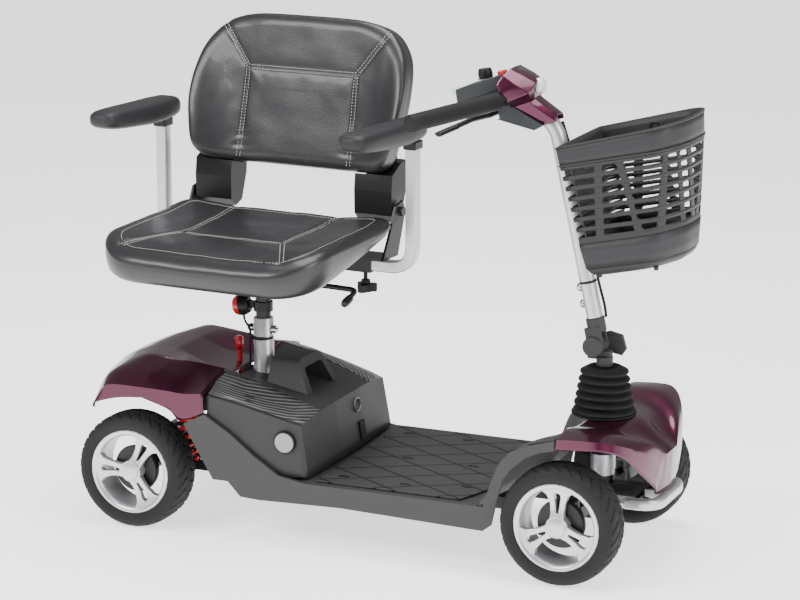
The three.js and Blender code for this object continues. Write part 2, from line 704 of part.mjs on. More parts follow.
const STUD_X = 56; // the steering arms reach this far behind their pivots
function steering() {
  const armTip = STEER_AXIS_X - STUD_X;
  const shaft = join(
    rod([STEER_AXIS_X, 0, 62], [STEER_AXIS_X, 0, 344], 14, 14),
    rod([STEER_AXIS_X, 0, 186.6], [STEER_AXIS_X, 0, 194], 21, 14),
    block([armTip - 8, STEER_AXIS_X], [-11, 11], [62, 70]),
    rod([armTip, 0, 70], [armTip, 0, 87], 3.6, 10),
  );
  part(scooter, "steering_shaft", shaft, BLACK_STEEL);

  eachSide((name, s) => {
    const y = s * KINGPIN_Y;
    const tip = WHEELBASE - STUD_X;
    const knuckle = join(
      rod([WHEELBASE, y, 76], [WHEELBASE, y, 134], 6.6, 12),
      rod([WHEELBASE, y, 120.6], [WHEELBASE, y, 134], 12, 12),
      rod([WHEELBASE, y, 74], [WHEELBASE, y, 87.4], 12, 12),
      rod([WHEELBASE, s * 147, TYRE_RADIUS], [WHEELBASE, s * 206, TYRE_RADIUS], 7, 10),
      block([WHEELBASE - 9, WHEELBASE + 9], span(s, 146, 151), [76, 132]),
      block([WHEELBASE - 9, WHEELBASE + 9], span(s, KINGPIN_Y, 150), [122, 132]),
      block([WHEELBASE - 9, WHEELBASE + 9], span(s, KINGPIN_Y, 150), [75, 86]),
      block([tip - 7, WHEELBASE], [y - 6, y + 6], [75, 83]),
      rod([tip, y, 62], [tip, y, 80], 3.6, 10),
    );
    part(scooter, `knuckle_${name}`, knuckle, BLACK_STEEL);

    // Each tie rod has an eye at both ends; the two inner eyes share the pitman arm's stud.
    const inner = s > 0 ? 71 : 79.4;
    const eye = (x, yy, z, high) => rod([x, yy, z], [x, yy, z + high], 9, 12);
    const bore = (x, yy) => rod([x, yy, 60], [x, yy, 90], 4.4, 12);
    const link = rod([armTip - 0.6, s * 7, inner + 4], [tip, s * (KINGPIN_Y - 7), 68], 3.6, 8);
    const made = join(eye(armTip, 0, inner, 7.6), eye(tip, y, 63.5, 8), link);
    part(scooter, `tie_rod_${name}`, cut(made, bore(armTip, 0), bore(tip, y)), BLACK_STEEL);
  });

  // The lower half of the tilt hinge stands on the steering shaft.
  const foot = join(
    turned([[0, 344.4], [15, 344.4], [15, 361], [0, 361]], 14, STEER_AXIS_X),
    block([TILT_HINGE.x - 13, STEER_AXIS_X + 12], [-8, 8], [356, 372]),
    rod([TILT_HINGE.x, -8, TILT_HINGE.z], [TILT_HINGE.x, 8, TILT_HINGE.z], 18, 14),
    block([TILT_HINGE.x - 10, TILT_HINGE.x + 17], [-8, 8], [356, 380]),
  );
  const bore = rod([TILT_HINGE.x, -9, TILT_HINGE.z], [TILT_HINGE.x, 9, TILT_HINGE.z], 6, 10);
  part(scooter, "tiller_knuckle", cut(foot, bore), DARK_PLASTIC);
}

// ---------- tiller ----------

const tiller = new THREE.Group();
tiller.position.set(TILT_HINGE.x, 0, TILT_HINGE.z);
tiller.rotation.y = -radians(TILLER_LEAN);
scooter.add(tiller);
// In the tiller's own frame the hinge is the origin, Z runs up the tube and X points forwards.
const TUBE_X = 8;
const BASKET_REAR = 39;
const RIM_CLIMB = 0.045;
const GRIP_ROOT = [-62, 45, 458];
const GRIP_TIP = [-157, 254, 462];

function tillerParts() {
  const cheek = (s) =>
    join(
      rod([0, s * 8.4, 0], [0, s * 22, 0], 18, 14),
      block([-10, 18], span(s, 8.4, 17), [0, 34]),
    );
  const fork = join(cheek(1), cheek(-1), turned([[0, 24], [17, 24], [17, 40], [0, 40]], 14, TUBE_X));
  const pin = rod([0, -8.4, 0], [0, 8.4, 0], 5.6, 10);
  const clampHole = rod([0, 15, 0], [0, 23, 0], 6, 10);
  part(tiller, "tiller_fork", cut(join(fork, pin), clampHole), DARK_PLASTIC);

  const path = rounded(
    [
      [TUBE_X, 0, 40.4],
      [TUBE_X - 4, 0, 392],
      [-58, 0, 462],
    ],
    60,
    6,
  );
  const tube = sweep(path, circle(14.5, 12), new THREE.Vector3(0, 1, 0));
  part(tiller, "tiller_tube", join(tube, barSweep(11), basketHanger()), SILVER);

  // A winged lever clamps the hinge.
  const lever = join(
    rod([0, 16, 0], [0, 34, 0], 5.4, 10),
    rod([0, 22.4, 0], [0, 34, 0], 16, 14),
    plateXZ(
      [
        [-8, -12],
        [34, -30],
        [44, -20],
        [42, 6],
        [20, 16],
        [-6, 14],
      ],
      [26, 34],
    ),
  );
  part(tiller, "clamp_lever", lever, DARK_PLASTIC);

  // Control head: a faceted cover over a darker base that carries the console.
  const baseSide = [
    [-28, 395],
    [-11, 401],
    [-58, 441],
    [-66, 466],
    [-76, 480],
    [-154, 468],
    [-150, 460],
    [-114, 435],
    [-97, 426],
  ];
  const shoulders = [
    [-58, 441],
    [-66, 466],
    [-76, 480],
    [-154, 468],
    [-150, 460],
    [-122, 441],
  ];
  const base = join(plateXZ(baseSide, [-28, 28]), plateXZ(shoulders, [-40, 40]));
  const consoleTop = plateXZ(
    [
      [-70, 482],
      [-80, 497],
      [-153, 488],
      [-154, 465],
      [-76, 477],
    ],
    [-44, 44],
  );
  const handlebarSlot = barSweep(12.2);
  const tubeSlot = sweep(path, circle(15, 12), new THREE.Vector3(0, 1, 0));
  const leverSlot = block([-140, -88], [-60, 60], [424, 441.5]);
  const dialSeat = rod([-110, 0, 470], [-110, 0, 500], 5, 12);
  const keySeat = rod([-140, 24, 478], [-170, 24, 480], 4.5, 12);
  const buttonSeat = block([-94, -78], [12, 30], [481, 505]);
  const headBase = cut(
    join(base, consoleTop),
    handlebarSlot,
    tubeSlot,
    leverSlot,
    dialSeat,
    keySeat,
    buttonSeat,
  );
  part(tiller, "head_base", headBase, DARK_PLASTIC);

  const coverRows = [
    [[-12, 20, 400], [13, 21, 404], [15, 14, 414], [15, 0, 415]],
    [[-58, 27, 441], [-26, 27, 444], [-20, 16, 449], [-20, 0, 450]],
    [[-62, 50, 452], [-20, 40, 462], [-11, 20, 476], [-10, 0, 478]],
    [[-68, 56, 470], [-42, 46, 482], [-28, 24, 491], [-27, 0, 492]],
    [[-72, 52, 487], [-60, 46, 500], [-52, 26, 508], [-51, 0, 509]],
  ];
  const cover = shell(coverRows, 3);
  const lampHole = rod([-20, 0, 467], [10, 0, 467], 15, 14);
  part(tiller, "head_cover", cut(cover, headBase, barSweep(12.4), lampHole), BURGUNDY);
  part(tiller, "headlight", rod([-24, 0, 467], [-4, 0, 467], 14.4, 18, 13), CLEAR);

  eachSide((name, s) => {
    const grip = cut(sweepGrip(s, 15.5), barSweep(11.4));
    part(tiller, `grip_${name}`, grip, BLACK_RUBBER);
  });

  const leverPath = rounded(
    [
      [-146, -168, 428],
      [-112, -96, 437],
      [-104, -30, 433],
      [-104, 30, 433],
      [-112, 96, 437],
      [-146, 168, 428],
    ],
    14,
    3,
  );
  part(tiller, "throttle_lever", sweep(leverPath, circle(6, 8, 4.5)), BLACK_PLASTIC);

  const dial = join(
    rod([-110, 0, 478], [-110, 0, 499], 4.4, 12),
    rod([-110, 0, 497], [-109, 0, 514], 13, 16, 11),
  );
  part(tiller, "speed_dial", dial, BLACK_PLASTIC);
  const key = join(
    rod([-152, 24, 478.8], [-166, 24, 479.7], 4, 12),
    plateXZ(
      [
        [-164, 475],
        [-164, 484],
        [-176, 489],
        [-190, 485],
        [-190, 474],
        [-176, 471],
      ],
      [22.8, 25.2],
    ),
  );
  part(tiller, "key", key, CHROME);
  part(tiller, "horn_button", block([-93, -79], [13, 29], [485, 503.5]), RED_PLASTIC);
}

function barSweep(radius) {
  const [rx, ry, rz] = GRIP_ROOT;
  const [tx, ty, tz] = GRIP_TIP;
  const path = rounded(
    [
      [tx, -ty + 3, tz],
      [rx, -ry + 12, rz],
      [rx, ry - 12, rz],
      [tx, ty - 3, tz],
    ],
    30,
    4,
  );
  return sweep(path, circle(radius, 10));
}
function sweepGrip(side, radius) {
  const start = new THREE.Vector3(GRIP_ROOT[0] - 10, side * (GRIP_ROOT[1] + 13), GRIP_ROOT[2]);
  const end = new THREE.Vector3(GRIP_TIP[0], side * GRIP_TIP[1], GRIP_TIP[2]);
  const along = end.clone().sub(start);
  const stations = [0, 0.02, 0.97, 1];
  const radii = [radius - 1, radius, radius, radius - 3];
  const rings = stations.map((t, i) => {
    const centre = start.clone().addScaledVector(along, t);
    const across = along.clone().normalize().cross(new THREE.Vector3(0, 0, 1)).normalize();
    const above = across.clone().cross(along.clone().normalize());
    return circle(radii[i], 10).map(([a, b]) =>
      centre.clone().addScaledVector(across, a).addScaledVector(above, b),
    );
  });
  return skin(rings);
}

// The basket is a D-shaped bin that hangs on the front of the tiller tube and leans with it.
function basket() {
  const floorZ = 136;
  const rimZ = 370;
  // The rim climbs towards the front, and so does everything just below it.
  const climb = (x, z) => RIM_CLIMB * (x - BASKET_REAR) * Math.max(0, (z - 336) / (rimZ - 336));
  const level = (z, inset) => {
    const t = (z - floorZ) / (rimZ - floorZ);
    const half = 104 + 9 * t - inset;
    const front = 212 + 48 * t - inset;
    const rear = BASKET_REAR + inset;
    const outline = [
      [rear, -half + 6],
      [rear + 6, -half],
      [front - 70, -half],
      [front - 34, -half + 8],
      [front - 12, -half + 34],
      [front, -half * 0.35],
      [front + 2, 0],
      [front, half * 0.35],
      [front - 12, half - 34],
      [front - 34, half - 8],
      [front - 70, half],
      [rear + 6, half],
      [rear, half - 6],
    ];
    return outline.map(([x, y]) => new THREE.Vector3(x, y, z + climb(x, z)));
  };
  const WALL = 3;
  const outer = skin([
    level(floorZ, 20),
    level(floorZ + 16, 6),
    level(rimZ - 36, 2),
    level(rimZ - 35, 0),
    level(rimZ, 0),
  ]);
  const inner = skin([level(floorZ + WALL, 20 + WALL), level(floorZ + 17, 6 + WALL), level(rimZ + 1, WALL)]);
  // Horizontal slots run through both side walls and the front.
  const slots = [];
  for (let row = 0; row < 7; row++) {
    const z = 207 + row * 18.3;
    const slanted = 118 + (6 - row) * 7;
    slots.push(block([56, 90], [-150, 150], [z, z + 11]));
    slots.push(block([104, slanted], [-150, 150], [z, z + 11]));
    slots.push(block([slanted + 12, 184], [-150, 150], [z, z + 11]));
    slots.push(block([190, 300], [-46, 46], [z, z + 11]));
  }
  const bin = cut(outer, inner, ...slots);
  part(tiller, "basket", bin, BLACK_PLASTIC);
}

// The bracket on the tiller tube that the basket hooks over.
function basketHanger() {
  return block([TUBE_X, BASKET_REAR - GAP], [-16, 16], [300, 340]);
}

// ---------- seat ----------

const seat = new THREE.Group();
seat.position.x = SEAT_POST_X;
seat.rotation.z = radians(SEAT_HEADING);
scooter.add(seat);
// In the seat's own frame X points the way the sitter faces and Y to the sitter's left.
const BACK_PIVOT = { x: -130, z: 563 };
const ARM_X = -88;
const ARM_Y = 266;
const ARM_Z = 468;

function seatBase() {
  const bush = turned(
    [
      [POST_INNER + GAP, 424],
      [23, 424],
      [23, 428],
      [16.6, 428],
      [16.6, 480],
      [POST_INNER + GAP, 480],
      [POST_INNER + GAP, 424],
    ],
    14,
  );
  part(seat, "seat_bush", bush, BLACK_PLASTIC);

  const receiver = cut(
    block([ARM_X - 14, ARM_X + 14], [-185, 185], [ARM_Z - 14, ARM_Z + 14]),
    block([ARM_X - 11.4, ARM_X + 11.4], [-186, 186], [ARM_Z - 11.4, ARM_Z + 11.4]),
  );
  const ear = (s) => {
    const at = [
      [-120, 482],
      [-60, 482],
      [-84, 520],
      [-112, 575],
      [-142, 582],
      [-150, 560],
    ];
    return join(
      plateXZ(at, span(s, 214, 219)),
      block([-116, -64], span(s, 118, 219), [482, 486]),
      rod([BACK_PIVOT.x, s * 199, BACK_PIVOT.z], [BACK_PIVOT.x, s * 219, BACK_PIVOT.z], 5, 12),
      rod([BACK_PIVOT.x, s * 219, BACK_PIVOT.z], [BACK_PIVOT.x, s * 226, BACK_PIVOT.z], 9, 10),
    );
  };
  const plate = block([-116, 66], [-120, 120], [482, 486]);
  const socket = rod([0, 0, 428.6], [0, 0, 484], 24, 14);
  const socketHole = rod([0, 0, 427], [0, 0, 482.4], 17.6, 14);
  const gusset = block([ARM_X + 13, -20], [-6, 6], [456, 483]);
  const knobHole = (s) => rod([ARM_X, s * 168, 440], [ARM_X, s * 168, 460], 4.4, 10);
  const frame = join(receiver, plate, socket, ear(1), ear(-1), gusset);
  part(seat, "seat_frame", cut(frame, socketHole, knobHole(1), knobHole(-1)), BLACK_STEEL);

  const leverPath = rounded(
    [
      [8, 25, 444],
      [8, 200, 441],
      [66, 206, 428],
    ],
    16,
    4,
  );
  part(seat, "swivel_lever", sweep(leverPath, circle(5, 10)), BLACK_STEEL);
}

// Cushion: a wedge-sided pad, deeper at the front than at the hinge.
function cushion() {
  const floorAt = (x) => (x < 66 ? 490 + (66 - x) * 0.2 : 490 - (x - 66) * 0.165);
  const frontDrop = (x) => 16 * Math.max(0, (x - 150) / 100) ** 2;
  const rearRise = (x) => 6 * Math.max(0, (-20 - x) / 86);
  const sideRise = (y) => 12 * (Math.abs(y) / 230) ** 3;
  const topAt = (x, y) => 544 - x * 0.03 + sideRise(y) + rearRise(x) - frontDrop(x);
  const ring = (inset, height) => {
    const along = [-106 + inset, 254 - inset];
    const across = [-223 + inset, 231 - inset];
    const outline = roundedRectangle(along, across, 52 - inset, 5, 96 - inset);
    return outline.map(([x, y]) => new THREE.Vector3(x, y, height(x, y)));
  };
  return skin([
    ring(34, (x) => floorAt(x)),
    ring(16, (x) => floorAt(x) + 8),
    ring(0, (x) => floorAt(x) + 26),
    ring(0, (x, y) => topAt(x, y) - 14),
    ring(10, (x, y) => topAt(x, y) - 2),
    ring(34, (x, y) => topAt(x, y)),
  ]);
}

// The backrest leans back; depth is counted from its front face, height along its slope.
const BACK_LEAN = 13.5;
// The sides come forwards round the sitter, and more so low down than at the top.
const wrap = (y, height) => (58 - 0.19 * height) * Math.max(0, (Math.abs(y) - 115) / 109) ** 2;
function backPoint(depth, y, height) {
  const c = Math.cos(radians(BACK_LEAN));
  const s = Math.sin(radians(BACK_LEAN));
  const along = depth - wrap(y, height);
  return new THREE.Vector3(-108 - height * s - along * c, y, 634 + height * c - along * s);
}
function backOutline(inset) {
  const half = [
    [0, 0],
    [150, 0],
    [196, 8],
    [211, 34],
    [224, 110],
    [218, 190],
    [194, 240],
    [164, 268],
    [110, 280],
    [0, 282],
  ];
  const shrink = ([y, h]) => [y * (1 - inset / 225), 141 + (h - 141) * (1 - inset / 141)];
  const right = half.map(shrink);
  const left = right.slice(1, -1).map(([y, h]) => [-y, h]).reverse();
  return [...right, ...left];
}
function backrest() {
  const ring = (depth, inset) => backOutline(inset).map(([y, h]) => backPoint(depth, y, h));
  const rearFace = (depth) => [6, 30, 66, 90, 112].map((inset) => ring(depth, inset));
  const frontFace = [ring(0, 112), ring(0, 90), ring(0, 66), ring(0, 44), ring(0, 26)];
  const pad = skin([...frontFace, ring(5, 9), ring(16, 0), ring(52, 0), ...rearFace(58)]);
  part(seat, "backrest_pad", pad, LEATHER);

  const boardFront = rearFace(58.5).reverse();
  const board = skin([...boardFront, ring(70, 12), ...rearFace(74).slice(1)]);
  const arm = (s) => {
    const outline = [
      [-150, 650],
      [-176, 652],
      [-170, 600],
      [-152, 550],
      [-128, 541],
      [-112, 556],
      [-111, 600],
      [-115, 631],
    ];
    return plateXZ(outline, span(s, 132, 210));
  };
  const linkRing = (s, height) =>
    [
      [58.5, 140],
      [58.5, 200],
      [70, 200],
      [70, 140],
    ].map(([depth, y]) => backPoint(depth, s * y, height));
  const link = (s) => skin([linkRing(s, -16), linkRing(s, 60)]);
  const bore = (s) =>
    rod([BACK_PIVOT.x, s * 195, BACK_PIVOT.z], [BACK_PIVOT.x, s * 212, BACK_PIVOT.z], 5.5, 12);
  const padClear = skin([...frontFace, ring(-8, -2), ring(58.2, -2), ...rearFace(58.2)]);
  const body = cut(join(board, arm(1), arm(-1), link(1), link(-1)), padClear, bore(1), bore(-1));
  part(seat, "backrest_shell", body, BLACK_PLASTIC);
}

function armrests() {
  eachSide((name, s) => {
    const path = rounded(
      [
        [ARM_X, s * 70, ARM_Z],
        [ARM_X, s * ARM_Y, ARM_Z],
        [ARM_X, s * ARM_Y, 703],
      ],
      44,
      6,
    );
    const tube = sweep(path, square(22), new THREE.Vector3(1, 0, 0));
    part(seat, `armrest_tube_${name}`, tube, SILVER);

    const station = (x, centre, half, low, high) =>
      roundedRectangle([-half, half], [low, high], Math.min(9, half - 2), 2).map(
        ([y, z]) => new THREE.Vector3(x, s * (centre + y), z),
      );
    const pad = skin([
      station(-114, 262, 18, 715, 739),
      station(-106, 262, 26, 709, 747),
      station(-48, 261, 29, 705, 751),
      station(32, 260, 30, 709, 751),
      station(102, 259, 30, 715, 753),
      station(134, 258, 27, 721, 752),
      station(146, 258, 18, 727, 745),
    ]);
    part(seat, `armrest_pad_${name}`, pad, BLACK_PLASTIC);

    const lobes = [0, 120, 240].map((angle) => {
      const t = radians(angle);
      const at = [ARM_X + 13 * Math.cos(t), s * 168 + 13 * Math.sin(t)];
      return rod([...at, 416], [...at, 430], 9, 8);
    });
    const knob = join(
      rod([ARM_X, s * 168, 416], [ARM_X, s * 168, 430], 15, 12),
      ...lobes,
      rod([ARM_X, s * 168, 428], [ARM_X, s * 168, 456], 4, 8),
      rod([ARM_X, s * 168, 429], [ARM_X, s * 168, 438], 9, 8),
    );
    part(seat, `armrest_knob_${name}`, knob, BLACK_PLASTIC);
  });
}

wheels();
frames();
rearAxle();
seatPosts();
rearLight();
deck();
covers();
batteryBox();
steering();
tillerParts();
basket();
seatBase();
part(seat, "cushion", cushion(), LEATHER);
backrest();
armrests();

export default scooter;
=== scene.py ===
"""Looks of the mobility scooter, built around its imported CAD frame.

Stations are millimetres from the rear axle, as in the part's source. P, T and S turn them into the
row frame's metres.
"""

import math

import bmesh
import bpy
from mathutils import Matrix, Vector, noise


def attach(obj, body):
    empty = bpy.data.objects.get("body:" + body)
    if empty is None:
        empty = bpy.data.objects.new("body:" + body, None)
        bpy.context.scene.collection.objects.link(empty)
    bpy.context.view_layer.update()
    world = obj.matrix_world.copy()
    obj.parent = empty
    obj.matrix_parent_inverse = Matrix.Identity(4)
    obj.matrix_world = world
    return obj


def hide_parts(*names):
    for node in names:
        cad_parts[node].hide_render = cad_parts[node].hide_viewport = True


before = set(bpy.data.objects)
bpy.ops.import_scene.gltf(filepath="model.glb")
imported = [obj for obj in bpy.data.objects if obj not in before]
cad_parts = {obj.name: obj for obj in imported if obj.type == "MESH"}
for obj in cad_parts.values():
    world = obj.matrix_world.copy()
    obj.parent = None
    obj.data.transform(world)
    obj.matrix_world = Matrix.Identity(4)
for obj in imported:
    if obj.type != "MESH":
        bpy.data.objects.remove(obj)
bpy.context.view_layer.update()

# ---------- where things are ----------

ORIGIN_X = 433
POST_X = 169
HINGE_X, HINGE_Z = 821, 380
LEAN = math.radians(12.15)
SEAT_TURN = math.radians(-94)
COS_L, SIN_L = math.cos(LEAN), math.sin(LEAN)
COS_S, SIN_S = math.cos(SEAT_TURN), math.sin(SEAT_TURN)


def P(x, y, z):
    """Chassis station to row frame."""
    return Vector(((x - ORIGIN_X) / 1000, y / 1000, z / 1000))


def T(a, y, h):
    """Tiller frame: a forwards, h up along the tiller, from the tilt hinge."""
    return P(HINGE_X + COS_L * a - SIN_L * h, y, HINGE_Z + SIN_L * a + COS_L * h)


def S(a, w, z):
    """Seat frame: a the way the sitter faces, w to the sitter's left, from the post."""
    return P(POST_X + a * COS_S - w * SIN_S, a * SIN_S + w * COS_S, z)


# ---------- materials ----------

SLOTS = {}  # the slot each material goes with, by the material's name
MOTTLE, GRAIN_DEPTH = 0.06, 0.0006


def set_inputs(target, values):
    for socket, value in values.items():
        target.inputs[socket].default_value = value
    return target


def node(tree, kind, inputs=None, **settings):
    """A new shader node, with its settings and the values of its input sockets."""
    made = tree.nodes.new("ShaderNode" + kind)
    for setting, value in settings.items():
        setattr(made, setting, value)
    return set_inputs(made, inputs or {})


def blend_color(tree, factor, low, high):
    """The shader's colour runs from low to high with the factor."""
    mix = node(tree, "Mix", {"A": (*low, 1), "B": (*high, 1)}, data_type="RGBA")
    tree.links.new(factor, mix.inputs["Factor"])
    tree.links.new(mix.outputs["Result"], tree.nodes["Principled BSDF"].inputs["Base Color"])


def add_bump(tree, height, strength, distance):
    bump = node(tree, "Bump", {"Strength": strength, "Distance": distance})
    tree.links.new(height, bump.inputs["Height"])
    tree.links.new(bump.outputs["Normal"], tree.nodes["Principled BSDF"].inputs["Normal"])


def distance_along(tree, direction):
    """How far a point lies along one direction of the object's space."""
    dot = node(tree, "VectorMath", {1: direction}, operation="DOT_PRODUCT")
    tree.links.new(node(tree, "TexCoord").outputs["Object"], dot.inputs[0])
    return dot.outputs["Value"]


def calculate(tree, operation, first, second=None):
    """A math node; first is a socket, second a socket or a number."""
    made = node(tree, "Math", operation=operation)
    tree.links.new(first, made.inputs[0])
    if isinstance(second, (int, float)):
        made.inputs[1].default_value = second
    elif second:
        tree.links.new(second, made.inputs[1])
    return made.outputs["Value"]


def ramp(tree, value, low, high):
    made = node(tree, "MapRange", {"From Min": low, "From Max": high})
    tree.links.new(value, made.inputs["Value"])
    return made.outputs["Result"]


def material(name, slot, color, rough, grain=0.0, scale=400.0, metal=0.0, coat=0.0):
    """A principled material with a fine object-space grain in its bump and a faint mottle in its colour."""
    made = bpy.data.materials.new(name)
    SLOTS[made.name] = slot
    made.use_nodes = True
    tree = made.node_tree
    values = {"Roughness": rough, "Metallic": metal, "Coat Weight": coat, "Coat Roughness": 0.06}
    if rough >= 0.4 and not metal:
        values["Specular IOR Level"] = 0.28
    set_inputs(tree.nodes["Principled BSDF"], values)
    where = node(tree, "TexCoord").outputs["Object"]
    spots = node(tree, "TexNoise", {"Scale": 14.0, "Detail": 4.0})
    tree.links.new(where, spots.inputs["Vector"])
    low = [c * (1 - MOTTLE) for c in color]
    high = [min(1.0, c * (1 + MOTTLE)) for c in color]
    blend_color(tree, spots.outputs["Fac"], low, high)
    if grain > 0:
        fine = node(tree, "TexNoise", {"Scale": scale, "Detail": 3.0})
        tree.links.new(where, fine.inputs["Vector"])
        add_bump(tree, fine.outputs["Fac"], grain, GRAIN_DEPTH)
    return made


# Name, slot, colour, roughness, the grain's strength and scale, metal, coat
BURGUNDY = material("burgundy paint", "burgundy_gloss", (0.075, 0.005, 0.028), 0.32, 0.05, 900, 0.8, 0.6)
SILVER_PAINT = material("silver cover paint", "silver_paint", (0.42, 0.40, 0.40), 0.3, 0.05, 900, 0.7, 0.6)
DARK = material("dark grey plastic", "dark_grey_plastic", (0.036, 0.036, 0.037), 0.55, 0.35, 700)
DECK_GREY = material("deck plastic", "dark_grey_plastic", (0.045, 0.045, 0.046), 0.55, 0.35, 700)
BLACK = material("black plastic", "black_plastic", (0.008, 0.008, 0.0085), 0.42, 0.25, 600)
BASKET = material("basket plastic", "black_plastic", (0.028, 0.028, 0.03), 0.5, 0.4, 500)
RUBBER = material("black rubber", "black_rubber", (0.008, 0.008, 0.008), 0.7, 0.3, 500)
TYRE = material("tyre rubber", "tyre_rubber", (0.012, 0.012, 0.0125), 0.72, 0.3, 500)
WHEEL = material("silver wheel paint", "silver_paint", (0.62, 0.63, 0.65), 0.34, 0.08, 900, 0.75, 0.2)
TUBE = material("silver tube paint", "silver_paint", (0.60, 0.61, 0.63), 0.36, 0.1, 900, 0.7, 0.1)
STEEL = material("black steel", "black_steel", (0.014, 0.014, 0.015), 0.4, 0.2, 500, 0.4)
CHROME = material("chrome", "chrome", (0.78, 0.78, 0.79), 0.12, metal=1.0)
LEATHER = material("leatherette", "leatherette", (0.015, 0.0155, 0.017), 0.38, 0.55, 380, 0, 0.12)
PAD = material("moulded armrest", "black_plastic", (0.022, 0.022, 0.024), 0.5, 0.6, 300)
THREAD = material("pale thread", "leatherette", (0.55, 0.54, 0.52), 0.8)
RED = material("red plastic", "red_plastic", (0.62, 0.012, 0.016), 0.25, coat=0.5)
LENS = material("lamp lens", "clear_plastic", (0.80, 0.82, 0.84), 0.12, coat=0.6)
SLATE = material("slate console", "dark_grey_plastic", (0.03, 0.034, 0.038), 0.45, 0.2, 600)
REFLECT = material("reflector", "clear_plastic", (0.26, 0.265, 0.26), 0.3, 1.0, 250, 0.6, 0.3)
BADGE = material("badge", "black_plastic", (0.02, 0.02, 0.025), 0.2, metal=0.2, coat=0.8)
FLOOR = material("studio floor", None, (0.93, 0.93, 0.93), 0.8)
glow = {"Emission Color": (1, 1, 1, 1), "Emission Strength": 1.5}
set_inputs(FLOOR.node_tree.nodes["Principled BSDF"], glow)


def striped():
    """Dark plastic with fine light streaks that run along one direction."""
    dark, light, pitch, direction = (0.03, 0.03, 0.031), (0.17, 0.17, 0.17), 0.0022, (0.2, 0.0, 0.98)
    made = material("battery streaks", "dark_grey_plastic", dark, 0.4, coat=0.1)
    tree = made.node_tree
    turn = calculate(tree, "MULTIPLY", distance_along(tree, direction), 2 * math.pi / pitch)
    blend_color(tree, ramp(tree, calculate(tree, "SINE", turn), 0.1, 0.7), dark, light)
    return made


def lattice_rubber():
    """Rubber with a lattice of grooves that cross on the diagonal, with painted shade darkening the grooves.
    """
    made = material("deck mat rubber", "black_rubber", (0.035, 0.035, 0.036), 0.6, 0.3, 600)
    tree = made.node_tree
    pitch = 0.062
    heights = []
    for direction in ((0.50, 0.866, 0), (0.50, -0.866, 0)):
        fold = calculate(tree, "PINGPONG", distance_along(tree, direction), pitch / 2)
        heights.append(ramp(tree, fold, 0.0012, 0.0024))
    both = calculate(tree, "MINIMUM", *heights)
    add_bump(tree, both, 0.9, 0.002)
    # Painted shade: the colour is darker in the grooves than on the ridges.
    blend_color(tree, both, (0.008, 0.008, 0.008), (0.045, 0.045, 0.047))
    return made


STREAKS = striped()
MAT = lattice_rubber()

# ---------- mesh helpers ----------

SIDES = (("left", 1), ("right", -1))
UPRIGHT = Vector((0, 0, 1))
LEFTWARD = Vector((0, 1, 0))
SOFT_ANGLE = 38


def add_object(name, data):
    made = bpy.data.objects.new(name, data)
    bpy.context.collection.objects.link(made)
    return made


def finish_mesh(name, mesh, look, body, angle, slot=None, cad=None, clean=False):
    """An object on a body; cad is the node it stands for. The slot argument is not used, and the object is
    given no slot.
    """
    mesh.materials.clear()
    mesh.materials.append(look)
    work = bmesh.new()
    work.from_mesh(mesh)
    if clean:
        bmesh.ops.remove_doubles(work, verts=work.verts, dist=2e-5)
        bmesh.ops.dissolve_limit(work, angle_limit=math.radians(2), verts=work.verts, edges=work.edges)
    bmesh.ops.recalc_face_normals(work, faces=work.faces)
    work.to_mesh(mesh)
    work.free()
    mesh.shade_smooth()
    mesh.set_sharp_from_angle(angle=math.radians(angle))
    made = add_object(name, mesh)
    slot or SLOTS[look.name]
    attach(made, body)
    if cad:
        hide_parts(cad)
    return made


def piece(name, vertices, faces, look, body, angle=35, **more):
    """A piece made of points and faces."""
    name = name.replace(" ", "_").replace(".", "_")
    mesh = bpy.data.meshes.new(name)
    mesh.from_pydata([tuple(v) for v in vertices], [], faces)
    return finish_mesh(name, mesh, look, body, angle, **more)


def bevel(obj, width, segments=2, angle=30):
    """Rounds the object's hard edges."""
    mod = obj.modifiers.new("bevel", "BEVEL")
    mod.width = width
    mod.segments = segments
    mod.limit_method = "ANGLE"
    mod.angle_limit = math.radians(angle)
    return obj


def thicken(obj, thickness, offset=0):
    """Gives a sheet a wall, centred on it or, with offset -1, behind it."""
    wall = obj.modifiers.new("wall", "SOLIDIFY")
    wall.thickness = thickness
    wall.offset = offset


def ring_faces(count, rings, closed=True, start=0):
    """Quads between neighbouring rings of count points each."""
    faces = []
    for i in range(rings - 1):
        for j in range(count if closed else count - 1):
            a = start + i * count + j
            b = start + i * count + (j + 1) % count
            faces.append((a, b, b + count, a + count))
    return faces


def loft(name, rings, look, body, cap=True, angle=35, **more):
    """A skin through rings of equal length, with flat caps."""
    count = len(rings[0])
    faces = ring_faces(count, len(rings))
    if cap:
        faces.append(tuple(range(count))[::-1])
        faces.append(tuple(range((len(rings) - 1) * count, len(rings) * count)))
    return piece(name, [p for ring in rings for p in ring], faces, look, body, angle, **more)


def basis(direction):
    """Two unit vectors that stand square to a direction and to each other."""
    d = direction.normalized()
    u = (UPRIGHT if abs(d.z) < 0.9 else LEFTWARD).cross(d).normalized()
    return u, d.cross(u)


def lathe(name, start, axis, profile, look, body, sides=48, angle=35, **more):
    """Profile of (radius, distance along the axis) in millimetres, turned about the axis from start."""
    u, v = basis(axis)
    d = axis.normalized()
    turn = [2 * math.pi * k / sides for k in range(sides)]
    rings = []
    for radius, along in profile:
        centre = start + d * (along / 1000)
        radius = max(radius, 0.02) / 1000
        rings.append([centre + (u * math.cos(t) + v * math.sin(t)) * radius for t in turn])
    return loft(name, rings, look, body, True, angle, **more)


def bulge(value, power):
    """A sine or cosine made fuller, so that a round section becomes a rounded square."""
    return math.copysign(abs(value) ** power, value)


def ellipse(wide, tall, count=20):
    turn = [2 * math.pi * k / count for k in range(count)]
    return [(wide * math.cos(t), tall * math.sin(t)) for t in turn]


